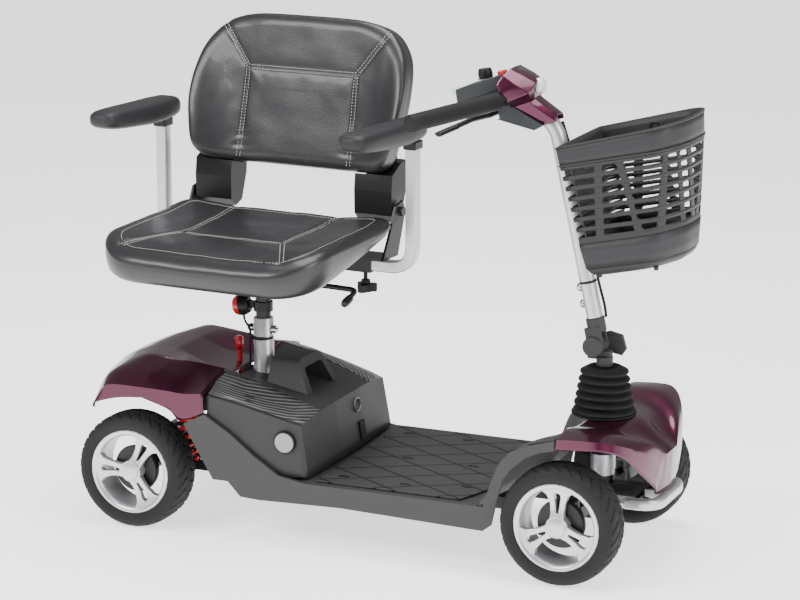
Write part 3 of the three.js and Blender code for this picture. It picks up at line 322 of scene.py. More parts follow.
def tube(name, path, radius, look, body, sides=24, section=None, up=None, **more):
    """A round bar, or one of the given section, along a path of points."""
    outline = section or ellipse(radius, radius, sides)
    rings = []
    for i, p in enumerate(path):
        along = (path[min(i + 1, len(path) - 1)] - path[max(i - 1, 0)]).normalized()
        guide = up or (UPRIGHT if abs(along.z) < 0.9 else LEFTWARD)
        across = along.cross(guide).normalized()
        above = across.cross(along)
        rings.append([p + across * (a / 1000) + above * (b / 1000) for a, b in outline])
    return loft(name, rings, look, body, **more)


def through(p0, p1, p2, p3, t):
    """The point at a share t of the smooth curve from p1 to p2."""
    return 0.5 * (
        2 * p1 + (p2 - p0) * t + (2 * p0 - 5 * p1 + 4 * p2 - p3) * t * t + (3 * p1 - p0 - 3 * p2 + p3) * t**3
    )


def curve(points, steps):
    """A smooth curve through all the points."""
    if len(points) < 3:
        return list(points)
    out = []
    for i in range(len(points) - 1):
        four = points[max(i - 1, 0)], points[i], points[i + 1], points[min(i + 2, len(points) - 1)]
        out.extend(through(*four, k / steps) for k in range(steps))
    return out + [points[-1]]


def corner(points, radius, steps=8):
    """A path whose corners are rounded, radius in millimetres."""
    out = [points[0]]
    for i in range(1, len(points) - 1):
        back = (points[i - 1] - points[i]).normalized()
        on = (points[i + 1] - points[i]).normalized()
        reach = radius / 1000 / math.tan(back.angle(on) / 2)
        a, b = points[i] + back * reach, points[i] + on * reach
        for k in range(steps + 1):
            t = k / steps
            out.append(a * (1 - t) ** 2 + points[i] * 2 * t * (1 - t) + b * t * t)
    return out + [points[-1]]


def broken_curve(points, breaks, steps):
    """A smooth curve through the points, with a corner left at each break."""
    cuts = [0, *sorted(breaks), len(points) - 1]
    out = []
    for a, b in zip(cuts, cuts[1:]):
        straight = [points[a].lerp(points[b], k / steps) for k in range(steps)]
        out.extend(curve(points[a : b + 1], steps)[:-1] if b - a > 1 else straight)
    return out + [points[-1]]


def cover(name, rows, columns_at, rows_at, look, body, thickness=0.003, steps=6, place=P, angle=28, **more):
    """A moulded shell through rows of stations, each from the right edge to the centre line, then mirrored.

    It is creased at the columns and rows named.
    """
    full = [
        [place(x, -y, z) for x, y, z in row] + [place(*point) for point in row[:-1]][::-1] for row in rows
    ]
    last = len(full[0]) - 1
    breaks = {*columns_at, *[last - c for c in columns_at]}
    fine_rows = [broken_curve(row, breaks, steps) for row in full]
    count = len(fine_rows[0])
    columns = [broken_curve([row[j] for row in fine_rows], rows_at, steps) for j in range(count)]
    tall = len(columns[0])
    vertices = [columns[j][i] for i in range(tall) for j in range(count)]
    made = piece(name, vertices, ring_faces(count, tall, closed=False), look, body, angle, **more)
    flip_up(made)
    thicken(made, thickness, -1)
    return made


def flip_up(obj):
    """Turns a sheet's faces so that most of them look up and outwards."""
    mesh = obj.data
    centre = sum((v.co for v in mesh.vertices), Vector()) / len(mesh.vertices) - Vector((0, 0, 0.15))
    score = sum((p.center - centre).dot(p.normal) * p.area for p in mesh.polygons)
    if score < 0:
        mesh.flip_normals()


def prism(name, outline, place, low, high, look, body, rounding=0.0015, **more):
    """A flat outline of pairs, placed by place(a, b, c) with c from low to high."""
    rings = [[place(a, b, c) for a, b in outline] for c in (low, high)]
    return bevel(loft(name, rings, look, body, **more), rounding)


def soften(cad, look, body, width=0.0015, segments=2):
    """A copy of a CAD node with rounded edges stands for it."""
    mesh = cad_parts[cad].data.copy()
    made = finish_mesh(cad + "_soft", mesh, look, body, SOFT_ANGLE, cad=cad, clean=True)
    bevel(made, width, segments, SOFT_ANGLE)


def keep(look, *nodes):
    """CAD nodes that are shown as they are, with this material."""
    for node_name in nodes:
        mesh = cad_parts[node_name].data
        mesh.materials.clear()
        mesh.materials.append(look)


def mirrored(half):
    """An outline of pairs whose second half mirrors the first."""
    return half + [(-a, b) for a, b in half[::-1]]


# ---------- wheels ----------

TYRE_HALF = [
    (107.4, 0), (107.4, 8), (107.2, 15), (106.0, 23), (103.6, 29), (99.5, 33.2), (93, 35.6), (86, 35),
    (80, 32), (77, 29),
]
CUTS, CUT_DEPTH, RIB_DEPTH = 30, 2.6, 2.2


def tyre(name, centre, body):
    profile = curve([Vector((r, y, 0)) for r, y in TYRE_HALF], 3)
    half = [(p.x, p.y) for p in profile]
    full = [(r, -y) for r, y in half[:0:-1]] + half
    around = CUTS * 8
    vertices = []
    for i in range(around):
        turn = i / around
        for r, y in full:
            side = abs(y)
            lean = 1.1 * (side / 34) ** 1.4
            wave = (CUTS * turn + lean + (0.5 if y > 0 else 0)) % 1
            radius = r
            if 3.4 < side < 5.6:
                radius -= RIB_DEPTH
            elif 5 < side < 32 and wave < 0.24:
                radius -= CUT_DEPTH
            t = 2 * math.pi * turn
            vertices.append(centre + Vector((radius * math.cos(t), y, radius * math.sin(t))) / 1000)
    count = len(full)
    faces = []
    for i in range(around):
        for j in range(count - 1):
            a = i * count + j
            b = ((i + 1) % around) * count + j
            faces.append((a, b, b + 1, a + 1))
    piece(name, vertices, faces, TYRE, body, 30, cad=name)


def rim(name, centre, side, turn, body):
    """A three-spoke wheel; each spoke is split by a long slot."""

    def at(r, y, t):
        return centre + Vector((r * math.cos(t), side * y, r * math.sin(t))) / 1000

    ring_profile = [
        (77.2, 27), (78.5, 31), (77, 32.6), (73.5, 32.6), (70, 30.5), (67.5, 27), (66, 18), (65, -8),
        (68, -30), (76.5, -31), (76.5, 27),
    ]
    sides = 96
    rings = [[at(r, y, 2 * math.pi * k / sides) for k in range(sides)] for r, y in ring_profile]
    loft(name + " ring", rings, WHEEL, body, cap=False, angle=40, cad=name)
    outer = mirrored([(-13, 12), (-12, 26), (-14, 42), (-20, 57), (-32, 66), (-12, 71)])
    inner = mirrored([(-2, 24), (-2.6, 30), (-4, 42), (-6, 53), (-5, 59), (-2, 61)])
    for k in range(3):
        a = math.radians(turn + 120 * k)

        def place(u, v, y, a=a):
            x = v * math.cos(a) - u * math.sin(a)
            z = v * math.sin(a) + u * math.cos(a)
            return centre + Vector((x, side * y, z)) / 1000

        def height(v):
            return 30.5 - 5.5 * math.sin(math.pi * min(1, max(0, (v - 12) / 58)))

        loops = [
            [place(u, v, height(v)) for u, v in outer],
            [place(u, v, height(v)) for u, v in inner],
            [place(u, v, 14) for u, v in inner],
            [place(u, v, 14) for u, v in outer],
        ]
        count = len(outer)
        vertices = [p for loop in loops for p in loop]
        faces = ring_faces(count, 4)
        faces += [(3 * count + j, 3 * count + (j + 1) % count, (j + 1) % count, j) for j in range(count)]
        bevel(piece(f"{name} spoke {k}", vertices, faces, WHEEL, body, 40), 0.0016, 3, 40)
    out = Vector((0, side, 0))
    lathe(name + " hub", centre, out, [(19, -24), (20.5, 20), (20, 29), (18.5, 30.5), (1, 30.5)], WHEEL, body)
    cap = [(16.5, 30), (17, 31.5), (16, 33.2), (11, 34.6), (5, 35.2), (0.2, 35.4)]
    lathe(name + " cap", centre, out, cap, TUBE, body)
    drum = [(42, -6), (44, 4), (42, 9), (20, 10)]
    lathe(name + " drum", centre, out, drum, STEEL, body)


WHEELBASE, TRACK_HALF, AXLE_HEIGHT = 830, 188, 107.5
# Where the first spoke of each wheel points, in degrees
for end, x, turns in (("rear", 0, (40, 180)), ("front", WHEELBASE, (75, 90))):
    for (name, side), turn in zip(SIDES, turns):
        centre = P(x, side * TRACK_HALF, AXLE_HEIGHT)
        tyre(f"tyre_{end}_{name}", centre, f"{end}_wheel_{name}")
        rim(f"rim_{end}_{name}", centre, side, turn, f"{end}_wheel_{name}")

# ---------- body covers ----------

rear_rows = [
    [(-80, 205, 218), (-88, 195, 219), (-104, 160, 214), (-118, 110, 206), (-128, 50, 201), (-131, 0, 200)],
    [(-78, 206, 227), (-66, 203, 250), (-80, 165, 261), (-95, 112, 265), (-106, 50, 267), (-109, 0, 267)],
    [(-31, 207, 242), (-43, 206, 266), (-48, 170, 284), (-22, 122, 303), (-40, 55, 302), (-42, 0, 302)],
    [(20, 207, 248), (20, 206, 267), (20, 172, 287), (25, 121, 305), (14, 46, 303), (14, 0, 303)],
    [(75, 207, 232), (70, 206, 266), (75, 165, 284), (80, 116, 300), (60, 50, 285), (60, 0, 285)],
    [(100, 207, 214), (105, 206, 264), (105, 160, 282), (108, 113, 297), (95, 58, 277), (95, 0, 277)],
    [(147, 207, 233), (145, 206, 268), (145, 160, 281), (145, 111, 292), (136, 62, 272), (132, 0, 272)],
]
cover("rear cover", rear_rows, [1, 3, 4], [3], BURGUNDY, "chassis", cad="rear_cover")

front_rows = [
    [(822, 207, 243), (822, 206, 261), (822, 150, 266), (822, 100, 257), (822, 55, 255), (822, 0, 256)],
    [(870, 207, 246), (870, 206, 264), (865, 150, 268), (866, 100, 258), (870, 55, 257), (875, 0, 260)],
    [(905, 200, 247), (903, 198, 262), (900, 140, 264), (900, 90, 250), (902, 50, 251), (905, 0, 254)],
    [(932, 162, 228), (930, 160, 248), (930, 115, 250), (925, 75, 238), (922, 38, 236), (925, 0, 240)],
    [(950, 108, 182), (952, 102, 222), (952, 75, 232), (948, 48, 222), (945, 28, 220), (946, 0, 222)],
    [(958, 64, 150), (962, 53, 188), (964, 39, 205), (966, 27, 204), (967, 15, 205), (968, 0, 206)],
    [(955, 56, 136), (959, 45, 135), (961, 36, 135), (962, 27, 135), (963, 15, 135), (964, 0, 135)],
]
cover("front shroud", front_rows, [1], [5], BURGUNDY, "chassis", cad="front_shroud")

case_rows = [
    [(150, 198.6, 228), (150, 197, 262), (150, 160, 279), (150, 111, 290), (150, 62, 270), (150, 0, 268)],
    [(200, 198.6, 195), (200, 195, 254), (200, 158, 270), (200, 110, 279), (200, 62, 262), (200, 0, 260)],
    [(250, 198.6, 158), (250, 193, 243), (250, 156, 256), (250, 108, 264), (250, 60, 253), (250, 0, 251)],
    [(296, 197.6, 130), (298, 189, 231), (298, 150, 241), (296, 105, 249), (296, 56, 244), (296, 0, 242)],
    [(336, 196, 132), (331, 182, 222), (332, 140, 228), (335, 100, 233), (338, 54, 235), (338, 0, 235)],
    [(341, 193, 130), (346, 186, 130), (349, 146, 130), (351, 100, 130), (353, 54, 130), (353, 0, 130)],
]
cover("battery case", case_rows, [1, 3, 4], [4], DARK, "battery", cad="battery_case")

# Streaked facets on both slopes of the battery box
for name, side in SIDES:
    quads = []
    for row in case_rows[:5]:
        edge, mid = Vector(row[1]), Vector(row[2])
        ridge = Vector(row[3])
        line = [edge.lerp(mid, 0.16), edge.lerp(mid, 0.6), mid, mid.lerp(ridge, 0.5), mid.lerp(ridge, 0.86)]
        quads.append([P(p.x, side * p.y, p.z + 0.7) for p in line])
    faces = ring_faces(5, 5, closed=False)
    thicken(piece(f"streaks {name}", [p for q in quads for p in q], faces, STREAKS, "battery", 60), 0.001)
    spot, out = P(303, side * 192.4, 192), Vector((0, side, 0))
    disc = [(18.5, -3), (18.5, 4.4), (17.6, 5.4), (0.2, 5.8)]
    lathe(f"reflector {name}", spot, out, disc, REFLECT, "battery")
    ring = [(20.5, -3), (20.5, 3.2), (19.5, 4.6), (18.6, 4.6), (18.6, -3)]
    lathe(f"reflector rim {name}", spot, out, ring, BLACK, "battery")

# Carrying handle with its finger tunnel
handle_outer = mirrored([(-68, 244), (-46, 296), (-40, 302), (-33, 304)])
handle_inner = mirrored([(-45, 244), (-38, 281), (-35, 286), (-30, 288)])
handle_loop = handle_outer + handle_inner[::-1]
loops = [[P(x, y, z) for y, z in handle_loop] for x in (205, 232, 262)]
loops.append([P(262 + (302 - z) * 0.5, y, z) for y, z in handle_loop])
bevel(loft("battery handle", loops, DARK, "battery"), 0.005, 4)

ring = [(14, -3), (14, 2.2), (12.5, 3), (11, 2.2), (11, -3)]
lathe("socket ring", P(342.6, 33, 208), Vector((1, 0, 0.14)), ring, CHROME, "battery", 40)
soften("charge_flap", RUBBER, "charge_port_flap", 0.001)

# ---------- deck ----------

soften("deck", DECK_GREY, "chassis", 0.0018, 2)
# The arch over the front wheels: (x, z) at each distance from the centre line
ARCH_Y, ARCH_LIFT = (203, 160, 110, 60, 0), 1.2
arch_rows = [
    [(676, 124), (676, 124), (676, 124), (676, 124), (676, 124)],
    [(697, 150), (697, 146), (703, 134), (712, 128), (712, 128)],
    [(719, 206), (719, 198), (735, 170), (748, 158), (748, 160)],
    [(766, 243), (768, 240), (776, 222), (784, 214), (784, 218)],
    [(820, 258), (820, 258), (820, 253), (818, 250), (818, 252)],
]
arch_rows = [[(x, y, z + ARCH_LIFT) for y, (x, z) in zip(ARCH_Y, row)] for row in arch_rows]
cover("arch skin", arch_rows, [], [], DECK_GREY, "chassis", 0.002)

mat_outline = [
    (362, -190), (640, -190), (655, -150), (670, -100), (670, 100), (655, 150), (640, 190), (362, 190)
]
prism("deck mat", mat_outline, P, 124.4, 128, MAT, "chassis", 0.001, cad="deck_mat")
for x, y in ((400, -150), (400, 150), (520, -150), (520, 150), (625, -120), (625, 120), (460, 0), (590, 0)):
    oval = [(x + 11 * math.cos(t * math.pi / 12), y + 5 * math.sin(t * math.pi / 12)) for t in range(24)]
    prism(f"mat fixing {x} {y}", oval, P, 127.8, 128.9, BLACK, "chassis", 0.0004)

# ---------- front end ----------

bumper_path = corner([P(908, -76, 121), P(962, -76, 121), P(962, 76, 121), P(908, 76, 121)], 36, 12)
section = []
for k in range(28):
    c, s = math.cos(2 * math.pi * (k + 0.5) / 28), math.sin(2 * math.pi * (k + 0.5) / 28)
    section.append((10 * bulge(c, 0.6), 10 * bulge(s, 0.6)))
tube("bumper bar", bumper_path, 10, TUBE, "chassis", section=section, cad="bumper")
tab = prism("bumper tab", [(921, -14), (954, -14), (954, 14), (921, 14)], P, 115, 131, TUBE, "chassis")
bevel(tab, 0.001)
lathe("bumper bolt", P(936, 0, 130), UPRIGHT, [(6, 0), (6, 4), (4, 6), (0.2, 6.4)], STEEL, "chassis", 24)
soften("front_frame", STEEL, "chassis", 0.001)
soften("rear_frame", STEEL, "chassis", 0.001)
lathe(
    "head tube cap", P(838, 0, 186), Vector((0, 0, -1)), [(20, 0), (22.5, 1), (22.5, 30), (21, 32), (21, 40)],
    TUBE, "chassis",
)
keep(
    STEEL, "transaxle", "knuckle_left", "knuckle_right", "tie_rod_left", "tie_rod_right", "steering_shaft",
    "seat_post",
)
keep(TUBE, "controller")
keep(BLACK, "battery_pack")

BOOT_FOOT, BOOT_TALL, FOLDS = 258.5, 84.5, 6
# One fold: how far in from the widest, and how far up
FOLD = [(9, 0), (4, 1.6), (0.6, 3.6), (0, 5.4), (0.8, 7.4), (4.5, 9.6), (9.4, 11.6), (10.6, 12.8)]
boot_profile = []
for i in range(FOLDS):
    z = BOOT_FOOT + BOOT_TALL * (i / FOLDS)
    wide = 56 - 15 * (i / FOLDS)
    boot_profile += [(wide - inwards, z + rise) for inwards, rise in FOLD]
boot_profile = [
    (58, BOOT_FOOT), (58, 261), (50, 262)
] + boot_profile[1:] + [(31, 343), (25, 343.6), (22, 341)]
lathe("steering boot", P(838, 0, 0), UPRIGHT, boot_profile, RUBBER, "chassis", 64, 50, cad="steering_boot")

# ---------- seat post ----------

lathe(
    "post tube", P(POST_X, 0, 0), UPRIGHT, [(14.4, 122), (19, 122), (19, 365), (17.6, 367), (14.4, 367)],
    TUBE, "chassis", cad="seat_post_tube",
)
lathe(
    "post", P(POST_X, 0, 0), UPRIGHT, [(14, 240), (14, 481), (13, 482), (0.2, 482)], STEEL, "chassis",
    cad="seat_post",
)
lathe(
    "post bolt", P(138, 0, 345), Vector((1, 0, 0)),
    [
        (5, 0), (6, 1), (6, 4), (7.5, 4.5), (7.5, 11), (4, 11), (4, 50.6), (10, 50.6), (10, 52.4),
        (7.5, 52.6), (7.5, 59), (4, 59.4), (4, 62), (0.2, 62.4),
    ],
    CHROME, "chassis", 24, cad="seat_post_bolt",
)
lathe("zip tie", P(168, -3, 327), UPRIGHT, [(20.4, 0), (21, 1), (21, 4), (20.4, 5)], BLACK, "chassis")
lathe("lamp clamp", P(POST_X, 0, 379), UPRIGHT, [(14.3, 0), (18, 0), (18, 18), (14.3, 18)], BLACK, "chassis")
prism("lamp arm", [(133, -4), (152, -4), (152, 4), (133, 4)], P, 382, 396, BLACK, "chassis")
lamp_axis = Vector((-14, 0, -3))
lathe(
    "lamp back", P(141, 0, 389), lamp_axis, [(12, 0), (16, 3), (19.6, 12), (19.8, 17)], BLACK, "chassis", 40
)
lathe(
    "lamp lens", P(141, 0, 389), lamp_axis,
    [(19.4, 16.6), (19.4, 20), (18.6, 25), (16, 29.5), (10, 31), (0.2, 31.4)], RED, "chassis", 40,
    cad="rear_light",
)
lead_route = [
    P(134, -12, 372), P(138, -15, 360), P(148, -16, 346), P(150, -17.5, 329), P(150, -17.5, 300),
    P(149, -17.5, 268), P(146, -20, 240),
]
tube("lamp lead", curve(lead_route, 6), 2.2, RUBBER, "chassis", 12, cad="light_cable")

lever_path = [P(113, 12, 236), P(113, 12, 280), P(112.6, 12, 300)]
tube("freewheel stem", lever_path, 5, RED, "freewheel_control", 20, cad="freewheel_lever")
lathe(
    "freewheel knob", P(113, 12, 296), Vector((-2, 0, 26)),
    [(5, 0), (7, 2), (8.4, 10), (8, 22), (5.5, 26), (0.2, 26.8)], RED, "freewheel_control", 32,
)

# ---------- springs ----------

SPRING_X, SPRING_Y = 74, 128
for name, side in SIDES:
    turns, per, radius = 5.5, 20, 16.5
    path = []
    for k in range(int(turns * per) + 1):
        t = 2 * math.pi * k / per
        rise = 90 * k / (turns * per)
        path.append(P(SPRING_X + radius * math.cos(t), side * SPRING_Y + radius * math.sin(t), 117 + rise))
    tube(f"spring {name}", path, 3.4, RED, "rear_axle", 10, cad=f"rear_spring_{name}")
    damper = [(9, 114), (9, 165), (5, 167), (5, 210), (0.2, 210)]
    lathe(
        f"damper {name}", P(SPRING_X, side * SPRING_Y, 0), UPRIGHT, damper, STEEL, "rear_axle", 24,
        slot="red_plastic",
    )

# ---------- tiller ----------

UP = T(0, 0, 1000) - T(0, 0, 0)
soften("tiller_knuckle", DARK, "steering_column", 0.002)
soften("tiller_fork", DARK, "tiller", 0.002)
soften("clamp_lever", DARK, "tilt_clamp", 0.003, 3)
for side in (1, -1):
    lathe(
        f"hinge boss {side}", T(0, side * 8.6, 0), Vector((0, side, 0)),
        [(17, 0), (18.4, 2), (18.4, 11), (16.5, 13.3), (7, 13.3), (6, 12)], DARK, "tiller", 40,
    )
hub = [(15.5, 0), (16.4, 2), (16.4, 8), (13, 11), (0.2, 11.4)]
lathe("clamp hub", T(0, 22.6, 0), LEFTWARD, hub, DARK, "tilt_clamp", 40)

tube_path = corner([T(8, 0, 38), T(4, 0, 392), T(-56, 0, 460)], 60, 12)
tube("tiller tube", tube_path, 14.5, TUBE, "tiller", 36, up=LEFTWARD, cad="tiller_tube")
bar_path = corner([T(-155.6, -251, 462), T(-62, -33, 458), T(-62, 33, 458), T(-155.6, 251, 462)], 30, 8)
tube("handlebar", bar_path, 11, STEEL, "tiller", 24, slot="silver_paint")
prism("basket bracket", [(8, -16), (37.4, -16), (37.4, 16), (8, 16)], T, 300, 340, BLACK, "tiller", 0.002)
for h in (106, 76):
    lathe(
        f"tiller bolt {h}", T(-6, 0, h), T(-100, 0, h) - T(0, 0, h),
        [(8.4, 0), (8.4, 2), (6.6, 6), (3.4, 8.6), (0.2, 9)], CHROME, "tiller", 28,
    )
lathe("tiller tie", T(7.7, 0, 112), UP, [(14.9, 0), (15.6, 0.6), (15.6, 4), (14.9, 4.6)], BLACK, "tiller", 40)
lathe("tiller collar", T(8, 0, 39), UP, [(15, 0), (17, 1), (17, 9), (15, 11)], DARK, "tiller", 40)

# A control cable runs down the front of the tube, tied to it
cable_points = [
    T(14, 6, 400), T(21, 5, 340), T(24.6, 5, 260), T(25, 5, 190), T(25.4, 5, 114), T(27, 8, 70),
    T(25, 10, 46),
]
tube("control cable", curve(cable_points, 6), 2.6, RUBBER, "tiller", 12)

# (a, y, h) of the tiller frame
head_rows = [
    [(-12, 20, 400), (13, 21, 404), (15, 14, 414), (15, 0, 415)],
    [(-58, 27, 441), (-26, 27, 444), (-20, 16, 449), (-20, 0, 450)],
    [(-62, 50, 452), (-20, 40, 462), (-11, 20, 476), (-10, 0, 478)],
    [(-68, 56, 470), (-42, 46, 482), (-28, 24, 491), (-27, 0, 492)],
    [(-72, 52, 487), (-60, 46, 500), (-52, 26, 508), (-51, 0, 509)],
]
head = cover(
    "head cover", head_rows, [1, 2], [1, 2, 3], BURGUNDY, "tiller", 0.0025, 4, T, 25, cad="head_cover"
)
bevel(head, 0.0012, 2, 25)
soften("head_base", SLATE, "tiller", 0.0025, 3)
lathe(
    "headlight", T(-26, 0, 467), T(100, 0, 8) - T(0, 0, 0),
    [(13, 0), (14.2, 12), (14, 17), (12, 21.5), (6, 24), (0.2, 24.6)], LENS, "tiller", 40, cad="headlight",
)
lathe(
    "badge", T(-42, 0, 499.4), T(60, 0, 90) - T(0, 0, 0), [(9, 0), (9, 1.6), (7.6, 2.6), (0.2, 3)], BADGE,
    "tiller", 32,
)

dial_axis = T(1, 0, 17) - T(0, 0, 0)
knob_profile = [(4, -18), (4.2, 0), (12, 0), (13, 1), (13, 9), (11.4, 15.6), (10, 16.6), (0.2, 16.8)]
lathe("speed dial", T(-110, 0, 497), dial_axis, knob_profile, BLACK, "speed_knob", 18, 20, cad="speed_dial")
lathe(
    "dial skirt", T(-110, 0, 494.6), dial_axis, [(15.5, 0), (15.5, 0.8), (14, 1.4), (13.4, 1.4)],
    SILVER_PAINT, "tiller", 40,
)
soften("key", CHROME, "ignition_key", 0.0006)
soften("horn_button", RED, "horn", 0.002, 3)

for name, side in SIDES:
    start, end = T(-72, side * 58, 458), T(-157, side * 254, 462)
    length = (end - start).length * 1000
    profile = [(13.4, 0), (15.4, 1.5), (15.6, 5)]
    profile += [(15.5, length * k / 12) for k in range(1, 12)]
    profile += [(15.5, length - 4), (14.2, length - 1.2), (11, length), (0.2, length)]
    lathe(f"grip {name}", start, end - start, profile, RUBBER, "tiller", 36, cad=f"grip_{name}")

lever_points = corner(
    [
        T(-146, -168, 428), T(-112, -96, 437), T(-104, -30, 433), T(-104, 30, 433), T(-112, 96, 437),
        T(-146, 168, 428),
    ],
    14, 5,
)
tube("throttle lever", lever_points, 5, BLACK, "throttle", section=ellipse(6, 4.4), cad="throttle_lever")
for side in (1, -1):
    tip = [T(-128, side * 130, 432.4), T(-137, side * 150, 430.4), T(-146, side * 168, 428)]
    tube(f"throttle paddle {side}", tip, 6, BLACK, "throttle", section=ellipse(9, 4.2))

# ---------- basket ----------

# Heights of its floor, of the foot of its top band and of its rim, all along the tiller
FLOOR_H, BAND_H, RIM_H = 136, 336, 370
BASKET_REAR, RIM_CLIMB = 39, 0.045
AROUND = [k / 120 for k in range(120)]


def basket_outline(h, inset):
    t = (h - FLOOR_H) / (RIM_H - FLOOR_H)
    half = 104 + 9 * t - inset
    front = 212 + 48 * t - inset
    rear = BASKET_REAR + inset
    right = [
        (rear, 0), (rear, -half + 10), (rear + 3, -half + 3), (rear + 10, -half), (front - 70, -half),
        (front - 34, -half + 8), (front - 12, -half + 34), (front, -half * 0.35), (front + 2, 0),
    ]
    return right + [(a, -y) for a, y in right[-2:0:-1]]


def basket_point(u, h, inset):
    """The point at a share u of the way round the basket, from the middle of the rear wall."""
    loop = basket_outline(h, inset)
    count = len(loop)
    ends = [0.0]
    ref = basket_outline(RIM_H, 0)
    for i in range(count):
        a, b = Vector(ref[i]), Vector(ref[(i + 1) % count])
        ends.append(ends[-1] + (b - a).length)
    at = (u % 1.0) * ends[-1]
    for i in range(count):
        if at <= ends[i + 1]:
            t = (at - ends[i]) / (ends[i + 1] - ends[i])
            break

    def p(k):
        return Vector((*loop[k % count], 0))

    if i in (0, 3, count - 1, count - 4):
        q = p(i).lerp(p(i + 1), t)
    else:
        q = through(p(i - 1), p(i), p(i + 1), p(i + 2), t)
    climb = RIM_CLIMB * (q.x - BASKET_REAR) * max(0.0, (h - BAND_H) / (RIM_H - BAND_H))
    return T(q.x, q.y, h + climb)


def basket_band(name, low, high, low_inset, high_inset, thickness=0.003, **more):
    """A solid band right round the basket between two heights."""
    steps = 3
    rows = []
    for k in range(steps + 1):
        f = k / steps
        h = low + (high - low) * f
        inset = low_inset + (high_inset - low_inset) * f
        rows.append([basket_point(u, h, inset) for u in AROUND])
    faces = ring_faces(len(AROUND), steps + 1)
    made = piece(name, [p for row in rows for p in row], faces, BASKET, "front_basket", 40, **more)
    thicken(made, thickness)


basket_band("basket top band", BAND_H, 369, 1.6, 1.6, cad="basket")
basket_band("basket lip", 335, 338, 0.6, 0.6, 0.0035)
basket_band("basket rim", 366.5, 369.6, 1.0, 1.0, 0.004)
basket_band("basket low band", 152, 196.5, 6.6, 4.2)
basket_band("basket low step", 196, 208, 5.0, 5.0)
bottom_rings = []
for h, inset in ((152, 7.5), (146, 10), (141, 14), (138, 20), (137.4, 30), (137.2, 44)):
    bottom_rings.append([basket_point(u, h, inset) for u in AROUND])
bottom_faces = ring_faces(120, 6) + [tuple(range(5 * 120, 6 * 120))]
bottom_points = [p for ring in bottom_rings for p in ring]
thicken(piece("basket bottom", bottom_points, bottom_faces, BASKET, "front_basket", 40), 0.003)

# Rows of slots: their number, pitch, height and the foot of the lowest
ROWS, PITCH, SLOT, FIRST = 7, 18.3, 11.0, 207.4
verts, faces = [], []


def lattice_inset(h):
    return 5.0 - 3.4 * (h - FIRST) / 129


def web(us_low, us_high, h0, h1):
    """One solid web between two slots of a row; its ends are rounded."""
    steps = 8
    base = len(verts)
    for k in range(steps + 1):
        f = k / steps
        h = h0 + (h1 - h0) * f
        bow = 0.0042 * (1 - math.sqrt(max(0.0, 1 - (2 * f - 1) ** 2)))
        left = us_low[0] + (us_high[0] - us_low[0]) * f - bow
        right = us_low[1] + (us_high[1] - us_low[1]) * f + bow
        for m in range(5):
            verts.append(basket_point(left + (right - left) * m / 4, h, lattice_inset(h)))
    faces.extend(ring_faces(5, steps + 1, closed=False, start=base))


def bar_row(h0, h1):
    """A thin horizontal bar right round, between two rows of slots."""
    base = len(verts)
    for h in (h0, h1):
        verts.extend(basket_point(u, h, lattice_inset(h)) for u in AROUND)
    faces.extend(ring_faces(len(AROUND), 2, start=base))


# Webs: share of the way round and half width, at the bottom and at the top row. The rear wall is solid.
WEBS = [
    ((0.0, 0.153), (0.0, 0.154)), ((0.199, 0.013), (0.2205, 0.0085)), ((0.319, 0.007), (0.2705, 0.0085)),
    ((0.3675, 0.0095), (0.375, 0.005)), ((0.434, 0.009), (0.408, 0.004)), ((0.487, 0.012), (0.447, 0.008)),
]
for row in range(ROWS):
    h0 = FIRST + row * PITCH
    h1 = h0 + SLOT
    if row:
        bar_row(h0 - PITCH + SLOT, h0)
    for (low_u, low_half), (high_u, high_half) in WEBS:
        ends = []
        for f in ((row + 0.1) / ROWS, (row + 0.9) / ROWS):
            ends.append((low_u + (high_u - low_u) * f, low_half + (high_half - low_half) * f))
        for mirror in (1, -1) if low_u else (1,):
            (c0, w0), (c1, w1) = [(mirror * c, w) for c, w in ends]
            web((c0 - w0, c0 + w0), (c1 - w1, c1 + w1), h0, h1)
bar_row(FIRST + ROWS * PITCH - PITCH + SLOT, 336.4)
thicken(piece("basket lattice", verts, faces, BASKET, "front_basket", 40), 0.003)

for a in (62, 166):
    for side in (1, -1):
        lathe(
            f"basket foot {a} {side}", T(a, side * 78, 138), -UP, [(4.5, 0), (4.5, 4), (3, 6.4), (0.2, 6.8)],
            BASKET, "front_basket", 16,
        )
tab = corner([T(134, 108, 345), T(136, 108.4, 363), T(150, 108.4, 363), T(151, 108, 345)], 7, 6)
tube("basket tab", tab, 1.6, BLACK, "front_basket", 10)

# ---------- seat frame and levers ----------

soften("seat_frame", STEEL, "seat", 0.0012)
lathe(
    "seat bush", S(0, 0, 424), UPRIGHT,
    [(14.4, 0), (22.6, 0), (23, 1), (23, 4), (16.6, 4.4), (16.6, 56), (14.4, 56)], BLACK, "seat_slide", 40,
    cad="seat_bush",
)
lathe(
    "seat socket", S(0, 0, 428.8), UPRIGHT, [(17.2, 0), (23.6, 0), (24.4, 1.2), (24.4, 52)], STEEL, "seat",
    40,
)
tube(
    "swivel lever", corner([S(8, 25, 444), S(8, 200, 441), S(66, 206, 428)], 16, 8), 5, STEEL,
    "swivel_release", 16, cad="swivel_lever",
)
lathe(
    "swivel grip", S(40, 204, 433.6), S(66, 206, 428) - S(40, 204, 433.6),
    [(5.4, 0), (7.4, 2), (7.8, 20), (6, 28), (0.2, 28.4)], BLACK, "swivel_release", 24,
)

